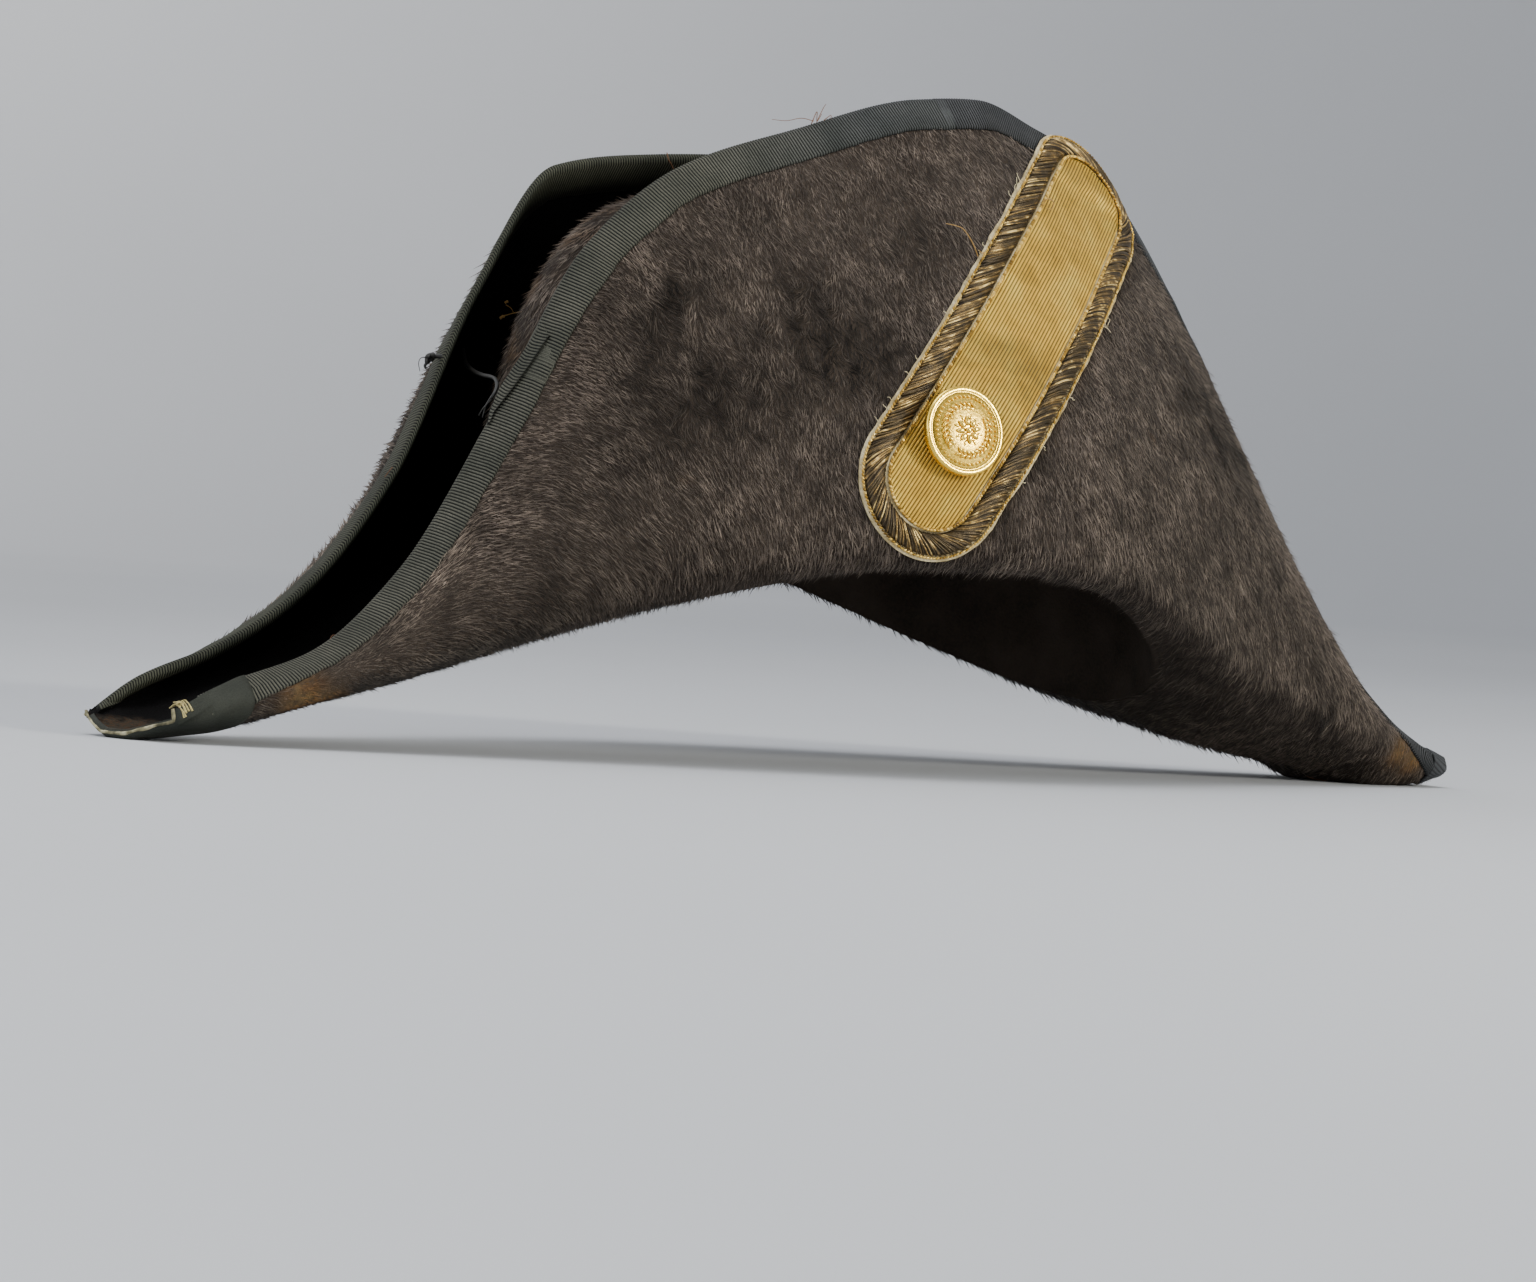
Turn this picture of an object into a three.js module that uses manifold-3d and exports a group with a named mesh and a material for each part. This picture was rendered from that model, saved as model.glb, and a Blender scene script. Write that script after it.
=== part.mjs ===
// A fore-and-aft cocked hat (bicorne) in napped felt: crown, turned-up brim, ribbon
// binding, and a gold lace strap with a gilt button on the wearer's left.
// Millimetres, +Z up. The wearer faces -Y, so the wearer's left is +X.
// The hat rests on the undersides of its two tips, at z = 0.
import * as THREE from 'three';
import { mergeVertices } from 'three/addons/utils/BufferGeometryUtils.js';
import Module from 'manifold-3d';

const wasm = await Module();
wasm.setup();

// ---------------------------------------------------------------- driving sizes
const FELT = 2.4; // thickness of the felt
const GAP = 0.3; // clearance between touching pieces
const INSIDE_GAP = 0.42; // and of the ribbon inside the fold, where the felt's facets bulge
const RIBBON = 0.5; // thickness of the folded ribbon
const EDGE_ROOM = 0.4; // room between the felt's edge and the ribbon's fold
const BINDING_WIDTH = 9.3; // how far the ribbon reaches down each face
const STEP_UP = RIBBON + GAP; // room that the binding takes on each face
const MOST_BOUND = 0.33; // and at most this share of a half section, near the tips
const TIP_LEG = 207; // the binding under the tips starts at this |y|
const FLAT_END = 200; // inward of the binding the felt lies flat on the ground
const REAR_LIFT = 0.4; // the ribbon under the rear tip stays this far off the ground
const TIP_BOW = 5; // the tips are rounded forward by this much in plan
const BOW_START = 150; // beginning at this |y|
const HEAD = { halfWidth: 80, halfLength: 100, cutTop: 70, facets: 32 }; // head opening
const CROWN = { topZ: 150, rows: 9, lastRow: 0.99 };
const CROWN_SIDE = { fromZ: 58, taper: 25, power: 2.4 }; // how its half width draws in
const CROWN_END = { fromZ: 35, taper: 14, power: 5 }; // and its half length
const CUT_Z = -30; // cutting solids start below everything

// Cross-sections of the brim from the front tip to the rear tip. keelZ: underside on
// the middle line. foldX, foldZ: where the side turns up. belly: how flat the underside
// stays before it turns (share of foldX). left, right: the two rims. curl: power of the
// inward curve between fold and rim.
const SECTION_COLUMNS = [
  'y', 'keelZ', 'foldX', 'foldZ', 'belly', 'leftX', 'leftZ', 'rightX', 'rightZ', 'curl',
];
const SECTIONS = [
  [-214, -3.0, 20.0, 3.6, 0.6, 19.0, 6.8, 19.0, 6.0, 1.4],
  [-200, 2.0, 25.0, 10.0, 0.5, 19.5, 15.0, 19.5, 14.2, 1.8],
  [-175, 9.0, 32.0, 18.0, 0.55, 20.0, 24.0, 20.0, 23.8, 2.0],
  [-150, 16.0, 39.5, 28.0, 0.55, 20.5, 45.5, 20.5, 39.5, 2.0],
  [-125, 24.0, 47.5, 38.5, 0.6, 21.0, 84.5, 21.0, 69.0, 1.9],
  [-100, 32.0, 57.0, 48.0, 0.65, 23.5, 129.5, 23.5, 118.5, 1.8],
  [-75, 40.0, 68.0, 54.0, 0.8, 26.5, 150.5, 26.5, 149.5, 1.7],
  [-40, 47.5, 81.0, 59.0, 0.92, 29.0, 163.0, 29.0, 154.5, 1.6],
  [0, 49.5, 88.0, 59.5, 0.95, 30.0, 174.0, 30.0, 158.0, 1.6],
  [20, 48.0, 86.5, 58.0, 0.95, 30.0, 175.4, 30.0, 161.0, 1.6],
  [40, 44.5, 81.5, 54.5, 0.9, 29.0, 170.0, 29.0, 163.0, 1.7],
  [60, 36.0, 74.5, 48.5, 0.75, 28.0, 162.5, 28.0, 159.0, 1.8],
  [75, 29.0, 68.0, 43.5, 0.6, 26.5, 151.5, 26.5, 149.0, 2.0],
  [100, 19.5, 57.0, 36.0, 0.45, 23.5, 125.5, 23.5, 123.0, 2.3],
  [125, 12.5, 47.5, 28.5, 0.4, 21.0, 93.5, 21.0, 91.0, 2.4],
  [150, 7.5, 39.5, 22.0, 0.4, 20.5, 59.5, 20.5, 58.5, 2.4],
  [175, 3.5, 32.5, 16.0, 0.45, 20.0, 30.0, 20.0, 30.0, 2.2],
  [190, -3.6, 28.0, 12.5, 0.5, 19.7, 18.0, 19.7, 18.0, 1.8],
  [200, -3.6, 25.0, 10.0, 0.5, 19.5, 12.5, 19.5, 12.5, 1.6],
  [214, 2.6, 20.0, 5.4, 0.55, 19.0, 8.0, 19.0, 8.0, 1.4],
];
const FOLD_HANDLE = 0.58; // roundness of the fold, as a share of its depth
const FINE_STEPS = 24; // points in each half of a section's outline
const LOWER_STEPS = 7; // facets from keel to fold
const WALL_STEPS = 6; // facets from fold to the binding
const FOLD_CROWDING = 1.6; // above 1, facets grow finer towards the fold
const WALL_CROWDING = 1.2; // and coarser away from it
const MOST_FOLD = 0.7; // the underside takes at most this share of the bare felt
const STEPS_PER_ROW = 2; // sections made for each row of the table

// The strap lies on the left side, from just above the fold to the rim.
const STRAP = {
  lower: { y: -31, z: 75 }, // centre of its lower round end
  bend: { y: 5.5, z: 120.5 }, // control point of its middle line
  upper: { y: 51, z: 151.5 }, // centre of its upper round end
  halfWidth: 20,
  backing: 0.6,
};
const LACE = { halfWidth: 11.4, thickness: 0.8 };
const BORDER = { inner: 13.2, outer: 18.2, height: 2.0, shoulder: 0.8 };
const CORDS = { inner: 12.3, outer: 19.1, radius: 0.55, sides: 8 };
const BUTTON = { radius: 11.5, along: 15.5, across: 1.0, standOff: 2.2, edge: 2.2, dome: 1.8 };
const SHANK_RADIUS = 2;
const BUTTON_WALL = 0.8; // the button is a pressed shell, open at the back round its shank
const BUTTON_RIM = { chamfer: 0.5, back: 0.8, width: 1.3, sunk: 0.4 }; // raised round the face
const BUTTON_FACETS = 40;

// ---------------------------------------------------------------- tables to curves
/** Slopes of a smooth curve through the values that never overshoots them. */
function monotoneSlopes(xs, values) {
  const steps = xs.slice(1).map((x, i) => x - xs[i]);
  const rises = steps.map((h, i) => (values[i + 1] - values[i]) / h);
  return xs.map((_, i) => {
    if (i === 0) return rises[0];
    if (i === xs.length - 1) return rises[i - 1];
    if (rises[i - 1] * rises[i] <= 0) return 0;
    const before = 2 * steps[i] + steps[i - 1];
    const after = steps[i] + 2 * steps[i - 1];
    return (before + after) / (before / rises[i - 1] + after / rises[i]);
  });
}

const rowYs = SECTIONS.map((row) => row[0]);
const curves = Object.fromEntries(
  SECTION_COLUMNS.map((name, column) => {
    const values = SECTIONS.map((row) => row[column]);
    return [name, { values, slopes: monotoneSlopes(rowYs, values) }];
  }),
);

/** Value of a named column of the table at any y. */
function at(name, y) {
  const { values, slopes } = curves[name];
  const clamped = Math.min(Math.max(y, rowYs[0]), rowYs.at(-1));
  let i = rowYs.findIndex((rowY) => rowY >= clamped) - 1;
  i = Math.max(i, 0);
  const step = rowYs[i + 1] - rowYs[i];
  const t = (clamped - rowYs[i]) / step;
  return (
    values[i] * (2 * t ** 3 - 3 * t ** 2 + 1) +
    slopes[i] * step * (t ** 3 - 2 * t ** 2 + t) +
    values[i + 1] * (3 * t ** 2 - 2 * t ** 3) +
    slopes[i + 1] * step * (t ** 3 - t ** 2)
  );
}

// ---------------------------------------------------------------- the brim's sections
/** One side of a section, keel to rim, as a fine line of points (x, z). */
function halfOutline(y, side) {
  const keelZ = at('keelZ', y);
  const foldX = at('foldX', y);
  const foldZ = at('foldZ', y);
  const underside = new THREE.CubicBezierCurve(
    new THREE.Vector2(0, keelZ),
    new THREE.Vector2(at('belly', y) * foldX, keelZ),
    new THREE.Vector2(foldX, foldZ - FOLD_HANDLE * (foldZ - keelZ)),
    new THREE.Vector2(foldX, foldZ),
  );
  const points = underside.getPoints(FINE_STEPS);
  for (let i = 1; i <= FINE_STEPS; i += 1) {
    const z = foldZ + ((at(`${side}Z`, y) - foldZ) * i) / FINE_STEPS;
    points.push(new THREE.Vector2(wallX(y, z, side), z));
  }
  return points;
}

function lineLength(points) {
  return points.slice(1).reduce((sum, p, i) => sum + p.distanceTo(points[i]), 0);
}

/** The point at a distance along a line of points. */
function alongLine(points, distance) {
  let left = distance;
  for (let i = 1; i < points.length; i += 1) {
    const length = points[i].distanceTo(points[i - 1]);
    if (left <= length) return points[i - 1].clone().lerp(points[i], left / length);
    left -= length;
  }
  return points.at(-1).clone();
}

/** How much of a section the ribbon covers: more where the rim runs steeply. */
function boundLength(line, y, side) {
  const slope = at(`${side}Z`, y + 0.5) - at(`${side}Z`, y - 0.5);
  const down = alongLine(line.toReversed(), BINDING_WIDTH).sub(line.at(-1)).normalize();
  return BINDING_WIDTH / Math.sqrt(1 - (down.y * slope) ** 2 / (1 + slope ** 2));
}

/** Keel to rim in few points: close together at the fold, one where the binding ends. */
function halfSection(y, side) {
  const line = halfOutline(y, side);
  const length = lineLength(line);
  const bare = length - Math.min(boundLength(line, y, side), MOST_BOUND * length);
  const fold = Math.min(lineLength(line.slice(0, FINE_STEPS + 1)), MOST_FOLD * bare);
  const stops = [];
  for (let i = 0; i < LOWER_STEPS; i += 1) {
    stops.push(fold * (1 - (1 - i / LOWER_STEPS) ** FOLD_CROWDING));
  }
  for (let i = 0; i <= WALL_STEPS; i += 1) {
    stops.push(fold + (bare - fold) * (i / WALL_STEPS) ** WALL_CROWDING);
  }
  stops.push((bare + length) / 2, length);
  return stops.map((stop) => alongLine(line, stop));
}

/** Outer face of a turned-up side above the fold: distance from the middle at (y, z). */
function wallX(y, z, side) {
  const foldX = at('foldX', y);
  const foldZ = at('foldZ', y);
  const height = Math.max((z - foldZ) / (at(`${side}Z`, y) - foldZ), 0);
  return foldX + (at(`${side}X`, y) - foldX) * height ** at('curl', y);
}

/** A whole section, left rim to right rim. */
function wholeSection(y) {
  const right = halfSection(y, 'right').slice(1);
  return [...halfSection(y, 'left').reverse(), ...right.map((p) => new THREE.Vector2(-p.x, p.y))];
}

/** The section moved out by `grow` and lengthened by `reach` at the rims. */
function offsetSection(points, y, grow, reach) {
  const tipFloor = y > 0 ? STEP_UP + REAR_LIFT : STEP_UP;
  const floor = tipFloor * THREE.MathUtils.clamp((Math.abs(y) - FLAT_END) / (TIP_LEG - FLAT_END), 0, 1);
  const directions = points.slice(1).map((p, i) => p.clone().sub(points[i]).normalize());
  return points.map((point, i) => {
    const before = directions[Math.max(i - 1, 0)];
    const after = directions[Math.min(i, directions.length - 1)];
    const along = before.clone().add(after).normalize();
    const outwards = new THREE.Vector2(-along.y, along.x).divideScalar(along.dot(after));
    const moved = point.clone().addScaledVector(outwards, grow);
    if (i === 0) moved.addScaledVector(along, -reach);
    if (i === points.length - 1) moved.addScaledVector(along, reach);
    moved.y = Math.max(moved.y, floor - grow);
    return moved;
  });
}

const sectionYs = rowYs.slice(1).flatMap((y, i) =>
  Array.from({ length: STEPS_PER_ROW }, (_, k) => rowYs[i] + ((y - rowYs[i]) * (k + 1)) / STEPS_PER_ROW),
);
sectionYs.unshift(rowYs[0]);
const FRONT_JOINT = sectionYs.indexOf(-TIP_LEG); // the row where the front ribbon ends
sectionYs.splice(FRONT_JOINT + 1, 0, -TIP_LEG + GAP);

/** How far a section's point bows outwards near a tip, by its distance from the middle. */
function bow(y, x) {
  const nearTip = Math.max((Math.abs(y) - BOW_START) / (rowYs.at(-1) - BOW_START), 0) ** 2;
  return TIP_BOW * nearTip * (1 - Math.min(Math.abs(x) / at('leftX', y), 1) ** 2);
}

/** Sections as rows of points in space, moved out by `grow`, past the edges by `reach`. */
function loftRows(grow, reach, tipReach) {
  return sectionYs.map((y) => {
    const base = wholeSection(y);
    const extra = Math.abs(y) === rowYs.at(-1) ? tipReach : 0;
    return offsetSection(base, y, grow, reach).map(
      (p, i) => new THREE.Vector3(p.x, y + Math.sign(y) * (bow(y, base[i].x) + extra), p.y),
    );
  });
}

// ---------------------------------------------------------------- meshes and solids
/** Triangles of a grid of points; `flip` turns them over, `keep` picks the cells. */
function gridTriangles({ rows, columns }, offset, flip, keep = () => true) {
  const triangles = [];
  for (let i = 0; i < rows - 1; i += 1) {
    for (let j = 0; j < columns - 1; j += 1) {
      const a = offset + i * columns + j;
      const corners = [a, a + 1, a + columns, a + 1, a + columns + 1, a + columns];
      if (keep(i, j)) triangles.push(...(flip ? corners.reverse() : corners));
    }
  }
  return triangles;
}

/** Directed edges round the picked cells; `outer` marks those on the grid's own border. */
function cellBorder({ rows, columns }, picked = () => true) {
  const inside = (i, j) => i >= 0 && j >= 0 && i < rows - 1 && j < columns - 1;
  const edges = [];
  for (let i = 0; i < rows - 1; i += 1) {
    for (let j = 0; j < columns - 1; j += 1) {
      if (!picked(i, j)) continue;
      const a = i * columns + j;
      const [b, c, d] = [a + 1, a + columns, a + columns + 1];
      const sides = [[a, b, i - 1, j], [b, d, i, j + 1], [d, c, i + 1, j], [c, a, i, j - 1]];
      for (const [from, to, m, n] of sides) {
        const outer = !inside(m, n);
        if (outer || !picked(m, n)) edges.push({ from, to, outer });
      }
    }
  }
  return edges;
}

/** A strip along edges between two grids, whose points start at two offsets. */
function stripTriangles(edges, first, second, flip = false) {
  return edges.flatMap(({ from: a, to: b }) => {
    const corners = [a + first, a + second, b + first, b + first, a + second, b + second];
    return flip ? corners.reverse() : corners;
  });
}

/** A mesh from points and triangles, without the triangles whose corners coincide. */
function geometryFrom(points, triangles) {
  const same = (a, b) => points[a].distanceTo(points[b]) < 1e-6;
  const kept = [];
  for (let i = 0; i < triangles.length; i += 3) {
    const [a, b, c] = triangles.slice(i, i + 3);
    if (!same(a, b) && !same(b, c) && !same(c, a)) kept.push(a, b, c);
  }
  const geometry = new THREE.BufferGeometry();
  const positions = points.flatMap((p) => [p.x, p.y, p.z]);
  geometry.setAttribute('position', new THREE.Float32BufferAttribute(positions, 3));
  geometry.setIndex(kept);
  return geometry;
}

/** A closed sheet between an outer and an inner grid of the same size. */
function sheetBetween(outer, inner) {
  const size = { rows: outer.length, columns: outer[0].length };
  const count = size.rows * size.columns;
  return geometryFrom(
    [...outer.flat(), ...inner.flat()],
    [
      ...gridTriangles(size, 0, false),
      ...gridTriangles(size, count, true),
      ...stripTriangles(cellBorder(size), 0, count),
    ],
  );
}

function toSolid(geometry) {
  const bare = geometry.clone();
  bare.deleteAttribute('normal');
  bare.deleteAttribute('uv');
  const merged = mergeVertices(bare, 1e-5);
  const mesh = new wasm.Mesh({
    numProp: 3,
    vertProperties: new Float32Array(merged.attributes.position.array),
    triVerts: new Uint32Array(merged.index.array),
  });
  return new wasm.Manifold(mesh);
}

function toGeometry(solid) {
  const mesh = solid.getMesh();
  const geometry = new THREE.BufferGeometry();
  geometry.setAttribute('position', new THREE.BufferAttribute(mesh.vertProperties, 3));
  geometry.setIndex(new THREE.BufferAttribute(mesh.triVerts, 1));
  return geometry;
}

/** A closed body through closed rings of points, each end filled to its middle. */
function bodyThroughRings(rings) {
  const count = rings[0].length;
  const points = rings.flat();
  const triangles = [];
  for (let i = 0; i < rings.length - 1; i += 1) {
    for (let j = 0; j < count; j += 1) {
      const a = i * count + j;
      const b = i * count + ((j + 1) % count);
      triangles.push(a, b, a + count, b, b + count, a + count);
    }
  }
  [rings[0], rings.at(-1)].forEach((ring, end) => {
    const middle = ring.reduce((sum, p) => sum.add(p), new THREE.Vector3()).divideScalar(count);
    const first = end * (rings.length - 1) * count;
    points.push(middle);
    for (let j = 0; j < count; j += 1) {
      const pair = [first + j, first + ((j + 1) % count)];
      triangles.push(...(end ? pair : pair.reverse()), points.length - 1);
    }
  });
  return geometryFrom(points, triangles);
}

/** A closed body from a section swept round a closed path: grid[path][section]. */
function closedSweep(grid) {
  const rows = grid.length;
  const columns = grid[0].length;
  const triangles = [];
  for (let i = 0; i < rows; i += 1) {
    for (let j = 0; j < columns; j += 1) {
      const a = i * columns + j;
      const b = i * columns + ((j + 1) % columns);
      const c = ((i + 1) % rows) * columns + j;
      const d = ((i + 1) % rows) * columns + ((j + 1) % columns);
      triangles.push(a, b, c, b, d, c);
    }
  }
  return geometryFrom(grid.flat(), triangles);
}

// ---------------------------------------------------------------- felt and ribbon
function brimSheet() {
  return toSolid(sheetBetween(loftRows(0, 0, 0), loftRows(-FELT, 0, 0)));
}

function makeBrim() {
  const oval = new THREE.Shape();
  oval.absellipse(0, 0, HEAD.halfWidth, HEAD.halfLength, 0, 2 * Math.PI);
  const depth = HEAD.cutTop - CUT_Z;
  const curveSegments = HEAD.facets / 2;
  const opening = new THREE.ExtrudeGeometry(oval, { depth, bevelEnabled: false, curveSegments });
  opening.translate(0, 0, CUT_Z);
  return toGeometry(brimSheet().subtract(toSolid(opening)));
}

const BOUND_COLUMNS = 2; // grid columns between a rim and the end of the ribbon's leg

/** Ribbon folded over the brim's edge, on the rows of the brim's grid that `keepRow` picks. */
function foldedRibbon(keepRow) {
  const skins = [
    loftRows(STEP_UP, RIBBON + EDGE_ROOM, STEP_UP),
    loftRows(GAP, EDGE_ROOM, GAP),
    loftRows(-FELT - INSIDE_GAP, EDGE_ROOM, GAP),
    loftRows(-FELT - INSIDE_GAP - RIBBON, RIBBON + EDGE_ROOM, STEP_UP),
  ];
  const size = { rows: skins[0].length, columns: skins[0][0].length };
  const [outside, overFelt, underFelt, inside] = skins.map((_, k) => k * size.rows * size.columns);
  const picked = (i, j) => {
    const atTip = i === 0 || i === size.rows - 2;
    return keepRow(i) && (atTip || Math.min(j, size.columns - 2 - j) < BOUND_COLUMNS);
  };
  const border = cellBorder(size, picked);
  const fold = border.filter((edge) => edge.outer);
  const ends = border.filter((edge) => !edge.outer);
  const starts = fold.map((edge) => edge.from).filter((v) => ends.some((edge) => edge.to === v));
  const stops = fold.map((edge) => edge.to).filter((v) => ends.some((edge) => edge.from === v));
  const quad = (a, b, c, d) => [a, b, c, a, c, d];
  return geometryFrom(skins.flat(2), [
    ...gridTriangles(size, outside, false, picked),
    ...gridTriangles(size, overFelt, true, picked),
    ...gridTriangles(size, underFelt, false, picked),
    ...gridTriangles(size, inside, true, picked),
    ...stripTriangles(fold, outside, inside),
    ...stripTriangles(fold, overFelt, underFelt, true),
    ...stripTriangles(ends, outside, overFelt),
    ...stripTriangles(ends, underFelt, inside),
    ...stops.flatMap((v) => quad(v + outside, v + inside, v + underFelt, v + overFelt)),
    ...starts.flatMap((v) => quad(v + outside, v + overFelt, v + underFelt, v + inside)),
  ]);
}

/** A tapered dome on the head's oval, made smaller all round by `inset`. */
function dome(inset) {
  const topZ = CROWN.topZ - inset;
  const half = (base, { fromZ, taper, power }, z) => {
    const rise = Math.max((z - fromZ) / (topZ - fromZ), 0);
    return (base - GAP - inset - taper * rise) * (1 - rise ** power) ** (1 / power);
  };
  const ring = (z) => {
    const side = half(HEAD.halfWidth, CROWN_SIDE, z);
    return ovalRing(side, half(HEAD.halfLength, CROWN_END, z), z);
  };
  const rings = [ring(CUT_Z - inset)];
  for (let i = 0; i <= CROWN.rows; i += 1) {
    const rise = Math.sin((i / CROWN.rows) * CROWN.lastRow * 0.5 * Math.PI);
    rings.push(ring(CROWN_END.fromZ + (topZ - CROWN_END.fromZ) * rise));
  }
  return toSolid(bodyThroughRings(rings));
}

function ovalRing(side, end, z) {
  return Array.from({ length: HEAD.facets }, (_, k) => {
    const angle = (2 * Math.PI * k) / HEAD.facets;
    return new THREE.Vector3(side * Math.cos(angle), end * Math.sin(angle), z);
  });
}

/** The crown's lower edge is trimmed level with the brim's underside. */
function makeCrown() {
  const insideBrim = toSolid(bodyThroughRings(loftRows(0, 0, 0)));
  return toGeometry(dome(0).subtract(dome(FELT)).intersect(insideBrim));
}

// ---------------------------------------------------------------- the strap's own frame
const NORMAL_STEP = 0.25; // distance over which the felt's slope is measured
const WALK_STEP = 2.5; // longest straight step over the felt
const CLIMB = { from: 1, to: 5 }; // the strap leaves the felt this far below the ribbon
function sidePoint(y, z) {
  return new THREE.Vector3(wallX(y, z, 'left'), y, z);
}

function sideNormal(y, z) {
  const step = NORMAL_STEP;
  const slopeY = (wallX(y + step, z, 'left') - wallX(y - step, z, 'left')) / (2 * step);
  const slopeZ = (wallX(y, z + step, 'left') - wallX(y, z - step, 'left')) / (2 * step);
  return new THREE.Vector3(1, -slopeY, -slopeZ).normalize();
}

/** The point reached by going straight on over the felt. */
function walk(from, direction, distance) {
  const steps = Math.max(Math.ceil(distance / WALK_STEP), 1);
  let point = from.clone();
  for (let i = 0; i < steps; i += 1) {
    const flat = direction.clone().projectOnPlane(sideNormal(point.y, point.z)).normalize();
    point.addScaledVector(flat, distance / steps);
    point = sidePoint(point.y, point.z);
  }
  return point;
}

const middleLine = new THREE.CatmullRomCurve3(
  new THREE.QuadraticBezierCurve(
    new THREE.Vector2(STRAP.lower.y, STRAP.lower.z),
    new THREE.Vector2(STRAP.bend.y, STRAP.bend.z),
    new THREE.Vector2(STRAP.upper.y, STRAP.upper.z),
  ).getPoints(12).map((p) => sidePoint(p.x, p.y)),
);
const strapLength = middleLine.getLength();

/** Height of the strap's underside over the felt: it climbs onto the ribbon near the rim. */
function seatHeight(y, z) {
  const slope = at('leftZ', y + 0.5) - at('leftZ', y - 0.5);
  const belowRibbon = (at('leftZ', y) - z) / Math.hypot(1, slope) - BINDING_WIDTH;
  return GAP + STEP_UP * (1 - THREE.MathUtils.smoothstep(belowRibbon, CLIMB.from, CLIMB.to));
}

/** A point over the strap's seat, by distance along, across (to the front) and height. */
function onStrap(along, across, height) {
  const share = THREE.MathUtils.clamp(along / strapLength, 0, 1);
  const direction = middleLine.getTangentAt(share);
  let point = middleLine.getPointAt(share);
  const beyond = along - share * strapLength;
  if (beyond !== 0) {
    point = walk(point, direction.clone().multiplyScalar(Math.sign(beyond)), Math.abs(beyond));
  }
  if (across !== 0) {
    const aside = sideNormal(point.y, point.z).cross(direction).multiplyScalar(Math.sign(across));
    point = walk(point, aside, Math.abs(across));
  }
  const lifted = height + seatHeight(point.y, point.z);
  return point.addScaledVector(sideNormal(point.y, point.z), lifted);
}

const CAP_STEPS = 8; // facets in a quarter of a round end
const SIDE_STEPS = 12; // facets along a straight side

/** Distances along the strap at which a plate of this half width has its rows. */
function plateRows(halfWidth) {
  const rows = [];
  for (let i = 1; i <= CAP_STEPS; i += 1) {
    const angle = (0.5 * Math.PI * i) / CAP_STEPS;
    rows.push({ along: -halfWidth * Math.cos(angle), half: halfWidth * Math.sin(angle) });
  }
  for (let i = 1; i < SIDE_STEPS; i += 1) {
    rows.push({ along: (strapLength * i) / SIDE_STEPS, half: halfWidth });
  }
  for (let i = CAP_STEPS; i >= 1; i -= 1) {
    const angle = (0.5 * Math.PI * i) / CAP_STEPS;
    rows.push({ along: strapLength + halfWidth * Math.cos(angle), half: halfWidth * Math.sin(angle) });
  }
  return rows;
}

/** A flat plate with round ends, bent to lie on the side of the hat. */
function strapPlate(halfWidth, bottom, thickness) {
  const layer = (height) =>
    plateRows(halfWidth).map(({ along, half }) =>
      [1, 0.5, 0, -0.5, -1].map((share) => onStrap(along, share * half, height)),
    );
  return sheetBetween(layer(bottom + thickness), layer(bottom));
}

/** The round-ended outline at one distance from the strap's middle line. */
function outline(distance) {
  const points = [];
  const addCap = (centre, start) => {
    for (let i = 0; i < 2 * CAP_STEPS; i += 1) {
      const angle = start + (Math.PI * i) / (2 * CAP_STEPS);
      points.push([centre + distance * Math.cos(angle), distance * Math.sin(angle)]);
    }
  };
  const addSide = (from, to, across) => {
    for (let i = 0; i < SIDE_STEPS; i += 1) {
      points.push([from + ((to - from) * i) / SIDE_STEPS, across]);
    }
  };
  addCap(strapLength, -0.5 * Math.PI);
  addSide(strapLength, 0, distance);
  addCap(0, 0.5 * Math.PI);
  addSide(0, strapLength, -distance);
  return points;
}

/** A rim piece: its section, as [distance, height] points, carried round the outline. */
function strapRing(sectionPoints) {
  const loops = sectionPoints.map(([distance, height]) =>
    outline(distance).map(([along, across]) => onStrap(along, across, height)),
  );
  return closedSweep(loops[0].map((_, i) => loops.map((loop) => loop[i])));
}

const layerZ = STRAP.backing + GAP; // underside of everything laid on the backing

function roundCord(distance) {
  const points = Array.from({ length: CORDS.sides }, (_, k) => {
    const angle = (-2 * Math.PI * k) / CORDS.sides;
    return [
      distance + CORDS.radius * Math.cos(angle),
      layerZ + CORDS.radius * (1 + Math.sin(angle)),
    ];
  });
  return strapRing(points);
}

function makeBorder() {
  const { inner, outer, height, shoulder } = BORDER;
  return strapRing([
    [inner, layerZ],
    [inner, layerZ + height - shoulder],
    [inner + shoulder, layerZ + height],
    [outer - shoulder, layerZ + height],
    [outer, layerZ + height - shoulder],
    [outer, layerZ],
  ]);
}

/** The button stands on its shank over the lace; its axis is square to the lace. */
function makeButton() {
  const { radius, standOff, edge, dome: rise } = BUTTON;
  const { chamfer, back, width, sunk } = BUTTON_RIM;
  const top = standOff + edge;
  const hollowTop = top - sunk - BUTTON_WALL;
  const profile = [
    [0, 0], [SHANK_RADIUS, 0], [SHANK_RADIUS, hollowTop + rise - BUTTON_WALL],
    [radius / 2, hollowTop + rise / 2], [radius - width - chamfer, hollowTop],
    [radius - back - BUTTON_WALL, standOff + back], [radius - back - BUTTON_WALL, standOff],
    [radius - back, standOff], [radius, standOff + back],
    [radius, top - chamfer], [radius - chamfer, top],
    [radius - width, top], [radius - width - chamfer, top - sunk],
  ];
  for (const share of [0.75, 0.5, 0.25, 0]) {
    profile.push([share * radius, top - sunk + rise * (1 - share ** 2)]);
  }
  return new THREE.LatheGeometry(profile.map(([r, h]) => new THREE.Vector2(r, h)), BUTTON_FACETS);
}

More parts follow.
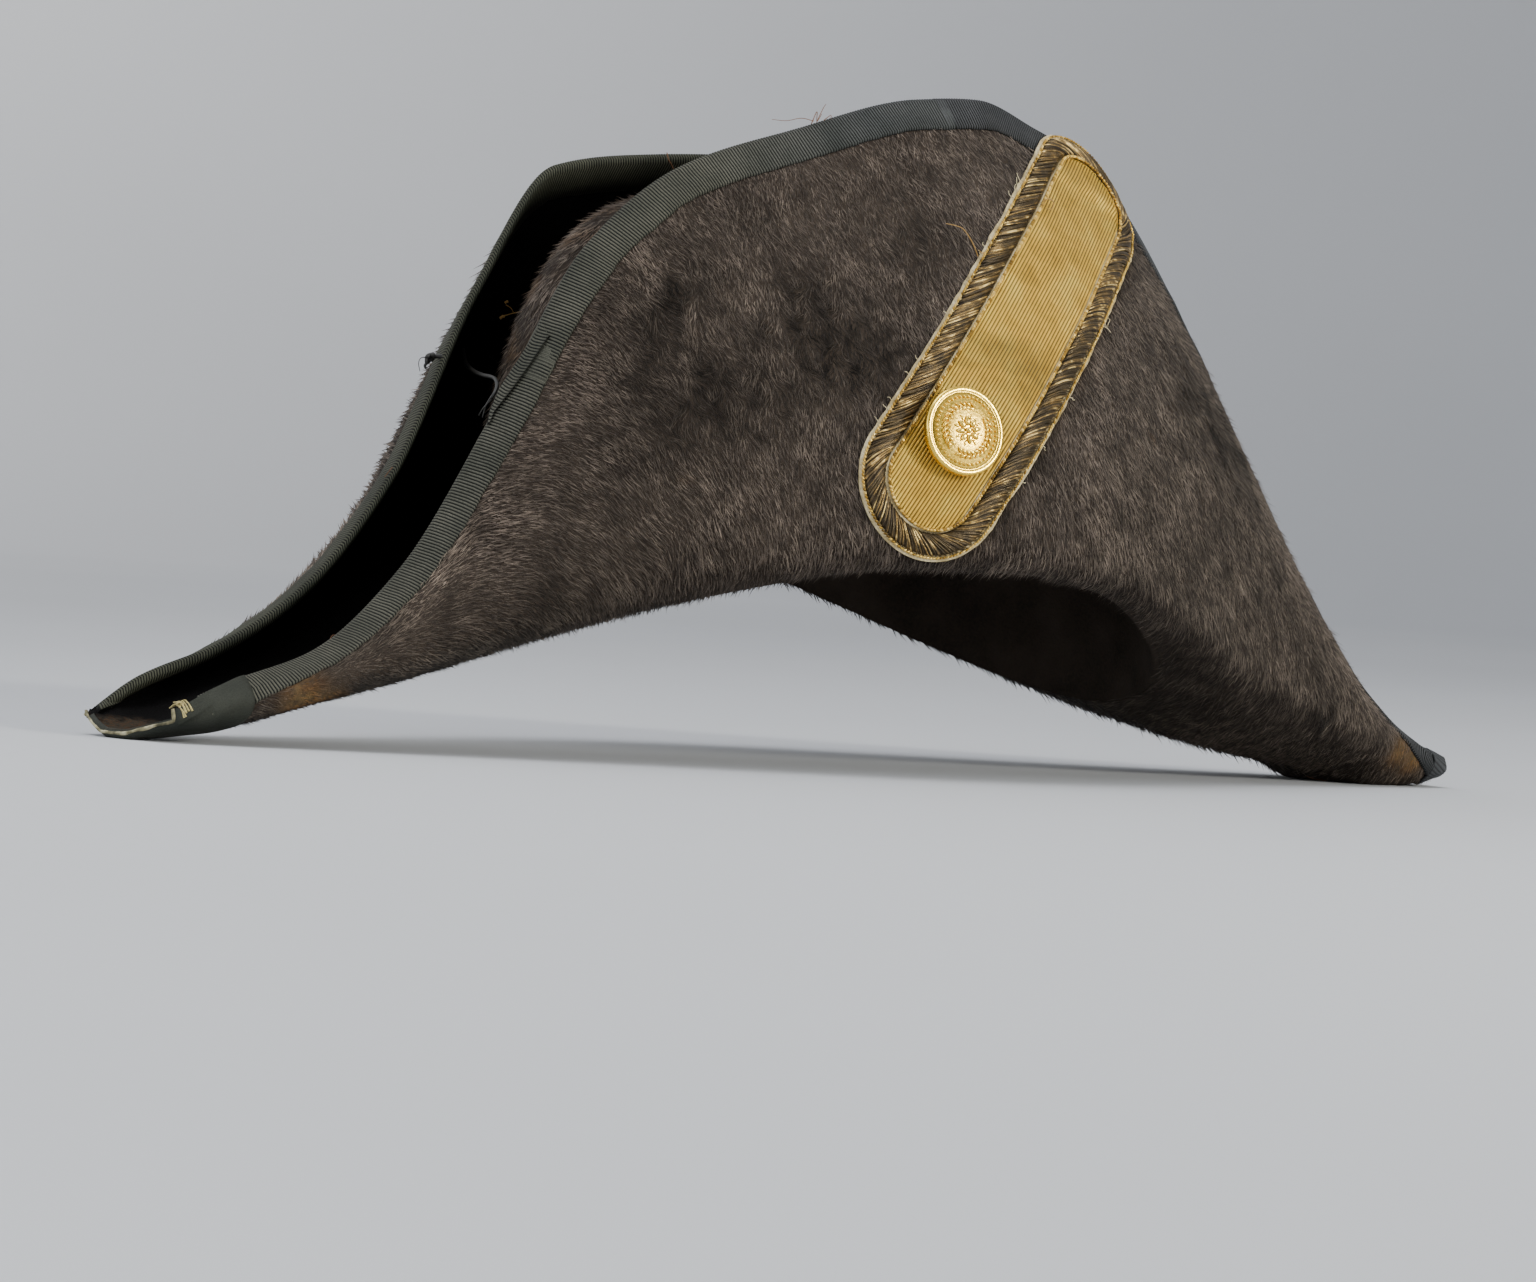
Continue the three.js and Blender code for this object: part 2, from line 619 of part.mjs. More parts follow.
function placeButton(mesh) {
  const seat = onStrap(BUTTON.along, BUTTON.across, layerZ + LACE.thickness + GAP);
  const foot = onStrap(BUTTON.along, BUTTON.across, 0);
  const up = seat.clone().sub(foot).normalize();
  mesh.position.copy(seat);
  mesh.quaternion.setFromUnitVectors(new THREE.Vector3(0, 1, 0), up);
}

// ---------------------------------------------------------------- assembly
const FINISH = {
  felt: { color: 0x3e342e, roughness: 0.95, metalness: 0 },
  ribbon: { color: 0x4b504e, roughness: 0.7, metalness: 0 },
  cream: { color: 0xcdbf9c, roughness: 0.9, metalness: 0 },
  lace: { color: 0xbea055, roughness: 0.45, metalness: 0.6 },
  bullion: { color: 0x6f5a34, roughness: 0.5, metalness: 0.7 },
  cord: { color: 0xa98a4b, roughness: 0.4, metalness: 0.7 },
  gilt: { color: 0xd9a84a, roughness: 0.25, metalness: 1 },
};

const group = new THREE.Group();
group.name = 'bicorne';

function add(name, geometry, finish) {
  const flat = geometry.index ? geometry.toNonIndexed() : geometry;
  flat.computeVertexNormals();
  const mesh = new THREE.Mesh(flat, new THREE.MeshStandardMaterial(FINISH[finish]));
  mesh.name = name;
  group.add(mesh);
  return mesh;
}

add('crown', makeCrown(), 'felt');
add('brim', makeBrim(), 'felt');
add('edge_binding', foldedRibbon((i) => i > FRONT_JOINT), 'ribbon');
add('front_tip_binding', foldedRibbon((i) => i < FRONT_JOINT), 'ribbon');
add('strap_backing', strapPlate(STRAP.halfWidth, 0, STRAP.backing), 'cream');
add('lace_panel', strapPlate(LACE.halfWidth, layerZ, LACE.thickness), 'lace');
add('inner_cord', roundCord(CORDS.inner), 'cord');
add('bullion_border', makeBorder(), 'bullion');
add('outer_cord', roundCord(CORDS.outer), 'cord');
placeButton(add('button', makeButton(), 'gilt'));

export default group;
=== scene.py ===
"""A fore-and-aft cocked hat in napped felt, with ribbon edging, a gold lace strap and a gilt button.

Lengths are in millimetres in the tables and shape functions, and in metres once a mesh is made.
The wearer faces -Y, so the wearer's left, with the strap and the button, is +X.
"""

import math

import bpy
import numpy as np
from mathutils import Matrix, Vector


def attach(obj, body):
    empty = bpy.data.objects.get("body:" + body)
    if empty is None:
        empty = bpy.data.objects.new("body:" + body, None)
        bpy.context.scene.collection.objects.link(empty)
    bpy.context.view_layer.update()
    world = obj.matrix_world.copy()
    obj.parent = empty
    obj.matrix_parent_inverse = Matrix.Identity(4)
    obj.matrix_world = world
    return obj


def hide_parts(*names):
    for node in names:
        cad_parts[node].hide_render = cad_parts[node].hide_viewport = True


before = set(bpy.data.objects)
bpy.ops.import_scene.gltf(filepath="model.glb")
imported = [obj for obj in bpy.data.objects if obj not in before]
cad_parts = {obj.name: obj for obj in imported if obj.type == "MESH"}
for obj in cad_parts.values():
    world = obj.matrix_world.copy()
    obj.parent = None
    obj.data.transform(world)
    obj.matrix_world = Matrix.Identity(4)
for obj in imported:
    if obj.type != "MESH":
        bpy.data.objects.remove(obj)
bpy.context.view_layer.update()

MM = 0.001


# ------------------------------------------------------------------ sizes
FELT = 2.4
GAP = 0.3  # room between pieces that touch
RIBBON = 0.5
BINDING_WIDTH = 9.3  # how far the ribbon comes down from a rim
STEP_UP = RIBBON + GAP
MOST_BOUND = 0.33  # the most of a section's length that the ribbon covers near a tip
FRONT_END = -214.0
REAR_END = 214.0
FLAT_END = 200.0  # from here to TIP_LEG a tip rises to make room for its ribbon
TIP_LEG = 207.0
REAR_LIFT = 0.4
BOW_START = 150.0  # from here on the sections bow out towards the tips, by TIP_BOW at the ends
TIP_BOW = 5.0
TIP_THIN = 1.0  # how much thinner the felt is at a tip's edge
TIP_THIN_FROM = 185
HEAD_HALF_WIDTH = 80.0
HEAD_HALF_LENGTH = 100.0
HEAD_CUT_FOOT = -30.0
HEAD_CUT_TOP = 70.0
FOLD_HANDLE = 0.58  # how square the fold between brim and side is; less at the front tip
TIP_FOLD_LOSS = 0.42

# A row for each section across the hat, from the front tip to the rear one.
SECTION_COLUMNS = (
    "y", "keelZ", "foldX", "foldZ", "belly", "leftX", "leftZ", "rightX", "rightZ", "curl",
)
SECTIONS = np.array(
    [
        [-214, 0.2, 19.6, 5.4, 0.2, 19.0, 8.4, 19.0, 5.2, 1.4],
        [-200, 2.0, 25.0, 10.0, 0.5, 19.5, 15.0, 19.5, 14.2, 1.8],
        [-175, 9.0, 32.0, 18.0, 0.55, 20.0, 24.0, 20.0, 23.8, 2.0],
        [-150, 16.0, 39.5, 28.0, 0.55, 20.5, 45.5, 20.5, 39.5, 2.0],
        [-125, 24.0, 47.5, 38.5, 0.6, 21.0, 84.5, 21.0, 69.0, 1.9],
        [-100, 32.0, 57.0, 48.0, 0.65, 23.5, 129.5, 23.5, 118.5, 1.8],
        [-75, 40.0, 68.0, 54.0, 0.8, 26.5, 150.5, 26.5, 151.0, 1.7],
        [-40, 47.5, 81.0, 59.0, 0.92, 29.0, 163.0, 29.0, 156.6, 1.6],
        [0, 49.5, 88.0, 59.5, 0.95, 30.0, 174.0, 30.0, 159.4, 1.6],
        [20, 48.0, 86.5, 58.0, 0.95, 30.0, 175.4, 30.0, 161.0, 1.6],
        [40, 44.5, 81.5, 54.5, 0.9, 29.0, 170.0, 29.0, 163.0, 1.7],
        [60, 36.0, 74.5, 48.5, 0.75, 28.0, 162.5, 28.0, 159.0, 1.8],
        [75, 29.0, 68.0, 43.5, 0.6, 26.5, 151.5, 26.5, 149.0, 2.0],
        [100, 19.5, 57.0, 36.0, 0.45, 23.5, 125.5, 23.5, 123.0, 2.3],
        [125, 12.5, 47.5, 28.5, 0.4, 21.0, 93.5, 21.0, 91.0, 2.4],
        [150, 7.5, 39.5, 22.0, 0.4, 20.5, 59.5, 20.5, 58.5, 2.4],
        [175, 3.5, 32.5, 16.0, 0.45, 20.0, 30.0, 20.0, 30.0, 2.2],
        [190, -3.6, 28.0, 12.5, 0.5, 19.7, 18.0, 19.7, 18.0, 1.8],
        [200, -3.6, 25.0, 10.0, 0.5, 19.5, 12.5, 19.5, 12.5, 1.6],
        [214, 2.6, 20.0, 5.4, 0.55, 19.0, 8.0, 19.0, 8.0, 1.4],
    ]
)
ROW_YS = SECTIONS[:, 0]


# ------------------------------------------------------------------ tables to curves
def monotone_slopes(xs, values):
    """Slopes of a smooth curve through the values that never overshoots them."""
    steps = np.diff(xs)
    rises = np.diff(values) / steps
    slopes = np.zeros(len(xs))
    slopes[0] = rises[0]
    slopes[-1] = rises[-1]
    for i in range(1, len(xs) - 1):
        if rises[i - 1] * rises[i] <= 0:
            continue
        before = 2 * steps[i] + steps[i - 1]
        after = steps[i] + 2 * steps[i - 1]
        slopes[i] = (before + after) / (before / rises[i - 1] + after / rises[i])
    return slopes


CURVES = {
    name: (SECTIONS[:, i], monotone_slopes(ROW_YS, SECTIONS[:, i]))
    for i, name in enumerate(SECTION_COLUMNS)
}


def at(name, y):
    """Values of a named column of the table at any y."""
    values, slopes = CURVES[name]
    y = np.clip(np.asarray(y, float), ROW_YS[0], ROW_YS[-1])
    i = np.clip(np.searchsorted(ROW_YS, y) - 1, 0, len(ROW_YS) - 2)
    step = ROW_YS[i + 1] - ROW_YS[i]
    t = (y - ROW_YS[i]) / step
    return (
        values[i] * (2 * t**3 - 3 * t**2 + 1)
        + slopes[i] * step * (t**3 - 2 * t**2 + t)
        + values[i + 1] * (3 * t**2 - 2 * t**3)
        + slopes[i + 1] * step * (t**3 - t**2)
    )


def wall_x(y, z, side="left"):
    """Distance of a turned-up side's outer face from the middle, above the fold."""
    fold_x = at("foldX", y)
    fold_z = at("foldZ", y)
    height = np.maximum((z - fold_z) / (at(side + "Z", y) - fold_z), 0)
    return fold_x + (at(side + "X", y) - fold_x) * height ** at("curl", y)


def smoothstep(x, low, high):
    """0 up to `low`, 1 from `high` on, and a smooth rise between them."""
    t = np.clip((np.asarray(x, float) - low) / (high - low), 0, 1)
    return t * t * (3 - 2 * t)


def ripple(a, b, wavelength, seed):
    """Smooth wander between about -1 and 1 over two coordinates in millimetres."""
    rng = np.random.default_rng(seed)
    total = np.zeros(np.broadcast(a, b).shape)
    for _ in range(9):
        angle = rng.uniform(0, 2 * np.pi)
        wave = 2 * np.pi / (wavelength * rng.uniform(0.6, 1.7))
        total += np.sin(wave * (a * np.cos(angle) + b * np.sin(angle)) + rng.uniform(0, 2 * np.pi))
    return total / 3.0


def unit(vectors):
    return vectors / np.maximum(np.linalg.norm(vectors, axis=-1, keepdims=True), 1e-12)


def read_between(table, row, column):
    """Bilinear values of a table between its rows and columns."""
    i = np.minimum(row.astype(int), table.shape[0] - 2)
    j = np.minimum(column.astype(int), table.shape[1] - 2)
    a = (row - i)[..., None]
    b = (column - j)[..., None]
    return (
        table[i, j] * (1 - a) * (1 - b)
        + table[i + 1, j] * a * (1 - b)
        + table[i, j + 1] * (1 - a) * b
        + table[i + 1, j + 1] * a * b
    )


class Side:
    """One half of the brim's outer face as a dense table, from its rim (0) to the keel (1)."""

    ROWS = 857
    COLUMNS = 241
    FINE = 96

    def __init__(self, name, sign):
        self.name = name
        self.sign = sign
        self.ys = np.linspace(FRONT_END, REAR_END, self.ROWS)
        line = self.outline(self.ys)
        steps = np.linalg.norm(np.diff(line, axis=1), axis=2)
        reach = np.concatenate([np.zeros((self.ROWS, 1)), np.cumsum(steps, axis=1)], axis=1)
        self.length = reach[:, -1]
        shares = np.linspace(0, 1, self.COLUMNS)
        self.flat = np.empty((self.ROWS, self.COLUMNS, 2))
        for i in range(self.ROWS):
            for k in range(2):
                self.flat[i, :, k] = np.interp(shares * self.length[i], reach[i], line[i, :, k])
        self.along = unit(np.gradient(self.flat, axis=1))
        self.out = np.stack([-self.along[..., 1], self.along[..., 0]], axis=-1)

    def outline(self, ys):
        """Rim to keel as fine lines of (x, z)."""
        y = ys[:, None]
        keel_z, fold_x, fold_z = at("keelZ", y), at("foldX", y), at("foldZ", y)
        rim_z = at(self.name + "Z", y)
        t = np.linspace(0, 1, self.FINE + 1)[None, :]
        z_wall = rim_z + (fold_z - rim_z) * t
        x_wall = wall_x(y, z_wall, self.name)
        handle = FOLD_HANDLE - TIP_FOLD_LOSS * smoothstep(-y, 194, 213)
        handle_z = fold_z - handle * (fold_z - keel_z)
        # Under the fold a cubic curve runs on to the keel: s is 1 at the fold and 0 at the keel.
        s = 1 - t[:, 1:]
        x_under = (
            3 * (1 - s) ** 2 * s * at("belly", y) * fold_x
            + 3 * (1 - s) * s**2 * fold_x
            + s**3 * fold_x
        )
        z_under = (
            ((1 - s) ** 3 + 3 * (1 - s) ** 2 * s) * keel_z
            + 3 * (1 - s) * s**2 * handle_z
            + s**3 * fold_z
        )
        x = np.concatenate([x_wall, x_under], axis=1)
        z = np.concatenate([z_wall, z_under], axis=1)
        return np.stack([x, z], axis=-1)

    def section_length(self, y):
        return np.interp(y, self.ys, self.length)

    def look_up(self, table, y, share):
        """Values of a table at y and a share of the section."""
        row = np.clip((y - FRONT_END) / (REAR_END - FRONT_END), 0, 1) * (self.ROWS - 1)
        return read_between(table, row, np.clip(share, 0, 1) * (self.COLUMNS - 1))

    def at_share(self, y, share, height=0.0, past=0.0, beyond=0.0):
        """Points at y and a share of the section, standing `height` off the outer face.

        `past` moves a point up past the rim, and `beyond` out past a tip.
        """
        y, share = np.broadcast_arrays(np.asarray(y, float), np.asarray(share, float))
        flat = self.look_up(self.flat, y, share)
        out = unit(self.look_up(self.out, y, share))
        along = unit(self.look_up(self.along, y, share))
        moved = flat + out * np.asarray(height)[..., None] - along * np.asarray(past)[..., None]
        tip_floor = np.where(y > 0, STEP_UP + REAR_LIFT, STEP_UP)
        floor = tip_floor * np.clip((np.abs(y) - FLAT_END) / (TIP_LEG - FLAT_END), 0, 1)
        z = np.maximum(moved[..., 1], floor - height)
        near_tip = np.maximum((np.abs(y) - BOW_START) / (REAR_END - BOW_START), 0) ** 2
        from_middle = np.minimum(np.abs(flat[..., 0]) / at("leftX", y), 1)
        bow = TIP_BOW * near_tip * (1 - from_middle**2)
        return np.stack([self.sign * moved[..., 0], y + np.sign(y) * (bow + beyond), z], axis=-1)

    def point(self, y, arc, height=0.0):
        """Points at y and a distance down from the rim."""
        y, arc = np.broadcast_arrays(np.asarray(y, float), np.asarray(arc, float))
        share = np.maximum(arc, 0) / self.section_length(y)
        return self.at_share(y, share, height, past=np.maximum(-arc, 0))


LEFT = Side("left", 1)
RIGHT = Side("right", -1)


# ------------------------------------------------------------------ meshes
def grid_faces(rows, columns, first=0, close_rows=False, close_columns=False):
    """Four-cornered faces of a grid of points, joined round where it closes."""
    i, j = np.meshgrid(
        np.arange(rows - (0 if close_rows else 1)),
        np.arange(columns - (0 if close_columns else 1)),
        indexing="ij",
    )
    i, j = i.ravel(), j.ravel()
    k, m = (i + 1) % rows, (j + 1) % columns
    faces = np.stack([i * columns + j, i * columns + m, k * columns + m, k * columns + j], axis=1)
    return faces + first


def signed_volume(points, faces):
    total = 0.0
    for k in range(1, faces.shape[1] - 1):
        a, b, c = points[faces[:, 0]], points[faces[:, k]], points[faces[:, k + 1]]
        total += (a * np.cross(b, c)).sum() / 6
    return total


def new_mesh(name, points, faces, values):
    """A mesh from points in millimetres, with named values for the points.

    `values` has one number or one vector for each point, or one number for them all.
    """
    mesh = bpy.data.meshes.new(name)
    mesh.from_pydata((points * MM).tolist(), [], np.asarray(faces, int).tolist())
    for key, array in values.items():
        array = np.asarray(array, np.float32)
        if array.ndim == 2:
            attribute = mesh.attributes.new(key, "FLOAT_VECTOR", "POINT")
            attribute.data.foreach_set("vector", array.ravel())
        else:
            attribute = mesh.attributes.new(key, "FLOAT", "POINT")
            attribute.data.foreach_set("value", array + np.zeros(len(points), np.float32))
    return mesh


def in_scene(name, data):
    """A new object at the origin that shows a mesh, a lamp or a camera."""
    made = bpy.data.objects.new(name, data)
    bpy.context.scene.collection.objects.link(made)
    return made


def new_object(name, points, faces, material, smooth=True, values=None):
    """A mesh object from points in millimetres and closed faces, which are turned outwards."""
    points = np.asarray(points, float).reshape(-1, 3)
    if signed_volume(points, faces) < 0:
        faces = faces[:, ::-1]
    mesh = new_mesh(name, points, faces, values or {})
    mesh.validate()
    mesh.update()
    if smooth:
        mesh.shade_smooth()
    if material is not None:
        mesh.materials.append(material)
    return in_scene(name, mesh)


def sheet_faces(rows, columns):
    """Faces of a closed sheet between an outer grid of points and an inner one after it."""
    count = rows * columns
    outer = grid_faces(rows, columns)
    inner = grid_faces(rows, columns, count)[:, ::-1]
    index = np.arange(count).reshape(rows, columns)
    border = np.concatenate([index[0, :-1], index[:-1, -1], index[-1, :0:-1], index[:0:-1, 0]])
    after = np.roll(border, -1)
    wall = np.stack([border, border + count, after + count, after], axis=1)
    return np.concatenate([outer, inner, wall])


def two_layers(upper, lower):
    """Values of a sheet's upper grid and of its lower one in a row."""
    return np.concatenate([np.ravel(upper), np.ravel(lower)])


def sheet_object(name, top, bottom, look, values=None):
    """A closed sheet from its upper and lower grids of points."""
    points = np.concatenate([top.reshape(-1, 3), bottom.reshape(-1, 3)])
    return new_object(name, points, sheet_faces(*top.shape[:2]), look, values=values)


def ring_sweep(rings, closed=False):
    """Points and faces of a body from rings of points along a path: closed, or with end caps.

    A capped body has two more points, the middles of its first ring and of its last one.
    """
    stations, around = rings.shape[:2]
    points = rings.reshape(-1, 3)
    sides = grid_faces(stations, around, close_rows=closed, close_columns=True)
    if closed:
        return points, sides
    middles = np.stack([rings[0].mean(axis=0), rings[-1].mean(axis=0)])
    count = len(points)
    j = np.arange(around)
    k = (j + 1) % around
    last = (stations - 1) * around
    start = np.stack([k, j, np.full(around, count)], axis=1)
    end = np.stack([last + j, last + k, np.full(around, count + 1)], axis=1)
    faces = np.concatenate([sides[:, [0, 1, 2]], sides[:, [0, 2, 3]], start, end])
    return np.concatenate([points, middles]), faces


def swept_object(name, rings, material, closed=False, values=None, smooth=True):
    """An object from rings of points along a path, with values for the rings' points."""
    points, faces = ring_sweep(np.asarray(rings, float), closed)
    values = dict(values or {})
    for key, array in values.items():
        if np.ndim(array) and not closed:
            values[key] = np.concatenate([array, array[:1], array[-1:]])
    return new_object(name, points, faces, material, smooth, values)


def tube(path, radii, sides):
    """Rings round a path of points, kept from twisting; `radii` is one number or one for each."""
    path = np.asarray(path, float)
    tangents = unit(np.gradient(path, axis=0))
    helper = np.array([0.0, 0.0, 1.0]) if abs(tangents[0, 2]) < 0.9 else np.array([1.0, 0.0, 0.0])
    across = np.cross(tangents[0], helper)
    frames = []
    for t in tangents:
        across = across - t * (across @ t)
        across = across / np.linalg.norm(across)
        frames.append(across)
    across = np.array(frames)
    other = np.cross(tangents, across)
    angles = 2 * np.pi * np.arange(sides) / sides
    radii = np.broadcast_to(np.asarray(radii, float), (len(path),))[:, None, None]
    circle = (
        across[:, None, :] * np.cos(angles)[None, :, None]
        + other[:, None, :] * np.sin(angles)[None, :, None]
    )
    return path[:, None, :] + radii * circle


def join(name, objects):
    """One object from several, whose meshes keep their named values."""
    with bpy.context.temp_override(
        active_object=objects[0], selected_editable_objects=objects, object=objects[0]
    ):
        bpy.ops.object.join()
    objects[0].name = name
    objects[0].data.name = name
    return objects[0]


# ------------------------------------------------------------------ node helpers
class Nodes:
    """Adds nodes to a tree, with their inputs given as values or as sockets to link."""

    def __init__(self, tree):
        self.tree = tree

    def add(self, kind, inputs=(), **settings):
        node = self.tree.nodes.new(kind)
        for key, value in settings.items():
            setattr(node, key, value)
        for key, value in dict(inputs).items():
            self.feed(node.inputs[key], value)
        return node

    def feed(self, socket, value):
        if isinstance(value, bpy.types.NodeSocket):
            self.tree.links.new(value, socket)
        else:
            socket.default_value = value

    def maths(self, operation, a, b=0.5):
        return self.add("ShaderNodeMath", {0: a, 1: b}, operation=operation).outputs[0]


class ShapeTree(Nodes):
    """A Geometry Nodes tree with named inputs for its sizes."""

    def __init__(self, name):
        super().__init__(bpy.data.node_groups.new(name, "GeometryNodeTree"))
        self.sockets = {}
        self.values = {}
        self.new_input("Geometry", "NodeSocketGeometry")
        self.tree.interface.new_socket("Geometry", in_out="OUTPUT", socket_type="NodeSocketGeometry")
        self.start = self.tree.nodes.new("NodeGroupInput")
        self.end = self.tree.nodes.new("NodeGroupOutput")

    def new_input(self, name, kind):
        self.sockets[name] = self.tree.interface.new_socket(name, in_out="INPUT", socket_type=kind)

    def number(self, name, value):
        """A named input and its value, a whole number or one with decimals."""
        self.new_input(name, "NodeSocketInt" if isinstance(value, int) else "NodeSocketFloat")
        self.values[name] = value
        return self.start.outputs[name]

    def named(self, name, kind="FLOAT"):
        node = self.add("GeometryNodeInputNamedAttribute", {"Name": name}, data_type=kind)
        return node.outputs["Attribute"]

    def vector(self, operation, a, b):
        key = "Scale" if operation == "SCALE" else 1
        return self.add("ShaderNodeVectorMath", {0: a, key: b}, operation=operation).outputs[0]

    def seed(self, step):
        return self.maths("ADD", self.start.outputs["Seed"], float(step))

    def random(self, low, high, step):
        inputs = {2: low, 3: high, "Seed": self.seed(step)}
        return self.add("FunctionNodeRandomValue", inputs, data_type="FLOAT").outputs[1]

    def random_vector(self, size, step):
        inputs = {
            0: self.vector("SCALE", (-1.0, -1.0, -1.0), size),
            1: self.vector("SCALE", (1.0, 1.0, 1.0), size),
            "Seed": self.seed(step),
        }
        return self.add("FunctionNodeRandomValue", inputs, data_type="FLOAT_VECTOR").outputs[0]

    def turned(self, forward, aside, axis):
        """A rotation that turns local Z to `forward` and another local axis towards `aside`."""
        first = self.add("FunctionNodeAlignRotationToVector", {"Vector": forward}, axis="Z")
        inputs = {"Rotation": first.outputs[0], "Vector": aside}
        kind = "FunctionNodeAlignRotationToVector"
        return self.add(kind, inputs, axis=axis, pivot_axis="Z").outputs[0]

    def strew(self, points, shape, rotation, size, material):
        """Ends the tree: a turned copy of a shape on each point, with a random tone of its own."""
        size = self.add("ShaderNodeCombineXYZ", dict(enumerate(size))).outputs[0]
        shape = self.add("GeometryNodeObjectInfo", {"Object": shape}).outputs["Geometry"]
        placed = self.add(
            "GeometryNodeInstanceOnPoints",
            {"Points": points, "Instance": shape, "Rotation": rotation, "Scale": size},
        ).outputs[0]
        toned = self.add(
            "GeometryNodeStoreNamedAttribute",
            {"Geometry": placed, "Name": "tone", "Value": self.random(0.0, 1.0, 6)},
            data_type="FLOAT",
            domain="INSTANCE",
        ).outputs[0]
        real = self.add("GeometryNodeRealizeInstances", {"Geometry": toned}).outputs[0]
        inputs = {"Geometry": real, "Material": material}
        finished = self.add("GeometryNodeSetMaterial", inputs).outputs[0]
        self.tree.links.new(finished, self.end.inputs[0])

    def run(self, name, holder):
        """The tree's result on an object as a plain mesh object; the holder is removed."""
        modifier = holder.modifiers.new(name, "NODES")
        modifier.node_group = self.tree
        for key, value in self.values.items():
            modifier[self.sockets[key].identifier] = value
        bpy.context.view_layer.update()
        graph = bpy.context.evaluated_depsgraph_get()
        mesh = bpy.data.meshes.new_from_object(holder.evaluated_get(graph))
        mesh.name = name
        bpy.data.objects.remove(holder)
        return in_scene(name, mesh)


def keep_hidden(obj):
    """A shape that only serves as an instance: it leaves the scene."""
    for collection in list(obj.users_collection):
        collection.objects.unlink(obj)
    return obj


def give_cells(obj, faces_each, corners):
    """A map for baking that gives each of many small alike bodies a cell of its own."""
    mesh = obj.data
    count = len(mesh.polygons) // faces_each
    side = int(math.ceil(math.sqrt(count)))
    index = np.arange(count)
    place = np.stack([index % side, index // side], axis=1)[:, None, :]
    cells = (place + np.asarray(corners, float)[None]) / side
    layer = mesh.uv_layers.new(name="OFBake")
    layer.data.foreach_set("uv", cells.astype(np.float32).ravel())
    return obj


# ------------------------------------------------------------------ finishes
def srgb(text, scale=1.0):
    """A colour from six hex digits, as linear values."""
    parts = [int(text[i : i + 2], 16) / 255 for i in (0, 2, 4)]
    linear = [p / 12.92 if p <= 0.04045 else ((p + 0.055) / 1.055) ** 2.4 for p in parts]
    return (*[c * scale for c in linear], 1.0)


class Finish(Nodes):
    """A material with one principled shader, whose constant values sit on its own sockets."""

    def __init__(self, name, **values):
        self.material = bpy.data.materials.new(name)
        self.material.use_nodes = True
        super().__init__(self.material.node_tree)
        self.shader = self.tree.nodes["Principled BSDF"]
        for key, value in values.items():
            self.shader.inputs[key.replace("_", " ")].default_value = value
        self.place = self.add("ShaderNodeTexCoord").outputs["Object"]

    def feed(self, socket, value):
        """Links or sets an input; a colour may be given by its six hex digits."""
        super().feed(socket, srgb(value) if isinstance(value, str) else value)

    def noise(self, scale, detail, roughness=0.5, distortion=0.0):
        inputs = {"Vector": self.place, "Scale": scale, "Detail": detail}
        inputs.update(Roughness=roughness, Distortion=distortion)
        return self.add("ShaderNodeTexNoise", inputs).outputs["Fac"]

    def value(self, name):
        return self.add("ShaderNodeAttribute", attribute_name=name).outputs["Fac"]

    def ramp(self, factor, *stops):
        """Colours at places from 0 to 1 along a factor."""
        node = self.add("ShaderNodeValToRGB", {"Fac": factor})
        ramp = node.color_ramp
        while len(ramp.elements) < len(stops):
            ramp.elements.new(0.5)
        for element, (position, colour) in zip(ramp.elements, stops):
            element.position = position
            element.color = srgb(colour)
        return node.outputs["Color"]

    def mapped(self, factor, low, high, new_low, new_high):
        """A factor from `low` to `high`, spread over another range."""
        inputs = {"Value": factor, "From Min": low, "From Max": high}
        inputs.update({"To Min": new_low, "To Max": new_high})
        return self.add("ShaderNodeMapRange", inputs).outputs["Result"]

    def mix(self, factor, a, b, blend="MIX"):
        """Colour `a` where the factor is 0 and colour `b` where it is 1."""
        inputs = {0: factor, 6: a, 7: b}
        return self.add("ShaderNodeMix", inputs, data_type="RGBA", blend_type=blend).outputs[2]

    def half_and_half(self, a, b):
        return self.maths("ADD", self.maths("MULTIPLY", a, 0.5), self.maths("MULTIPLY", b, 0.5))

    def colour(self, socket):
        self.feed(self.shader.inputs["Base Color"], socket)

    def roughness(self, socket):
        self.feed(self.shader.inputs["Roughness"], socket)

    def bump(self, height, depth):
        """Raises the surface by a height from 0 to 1 times a depth in metres."""
        inputs = {"Height": height, "Distance": depth, "Strength": 1.0}
        before = self.shader.inputs["Normal"].links
        if before:
            inputs["Normal"] = before[0].from_socket
        node = self.add("ShaderNodeBump", inputs)
        self.feed(self.shader.inputs["Normal"], node.outputs[0])


def make_felt():
    """The body of the felt, seen between the hairs and inside the hat."""
    look = Finish("felt", Roughness=0.95, Specular_IOR_Level=0.08)
    patches = look.noise(55.0, 3.0)
    grain = look.noise(1400.0, 4.0, 0.6)
    colour = look.ramp(patches, (0.3, "25211e"), (0.7, "3d3630"))
    colour = look.mix(look.mapped(grain, 0.35, 0.75, 0.0, 0.5), colour, "41372e")
    patchy = look.mapped(look.noise(420.0, 4.0, 0.65), 0.35, 0.6, 0.25, 1.0)
    worn = look.maths("MULTIPLY", look.value("worn"), patchy)
    bare = look.mix(look.mapped(patches, 0.45, 0.55, 0.0, 1.0), "6b4520", "6a5638")
    colour = look.mix(worn, colour, bare)
    rust = look.mix(look.mapped(grain, 0.45, 0.6, 0.0, 0.8), "33312a", "4c3420")
    # Near-black on the inner faces: partly a dark lining, partly painted shade where little light reaches;
    # rusty where the front trough is worn.
    lining_and_painted_shade = look.mix(look.mapped(worn, 0.1, 0.6, 0.0, 1.0), "0c0b0b", rust)
    colour = look.mix(look.value("inside"), colour, lining_and_painted_shade)
    look.colour(colour)
    look.bump(grain, 0.0005)
    return look.material


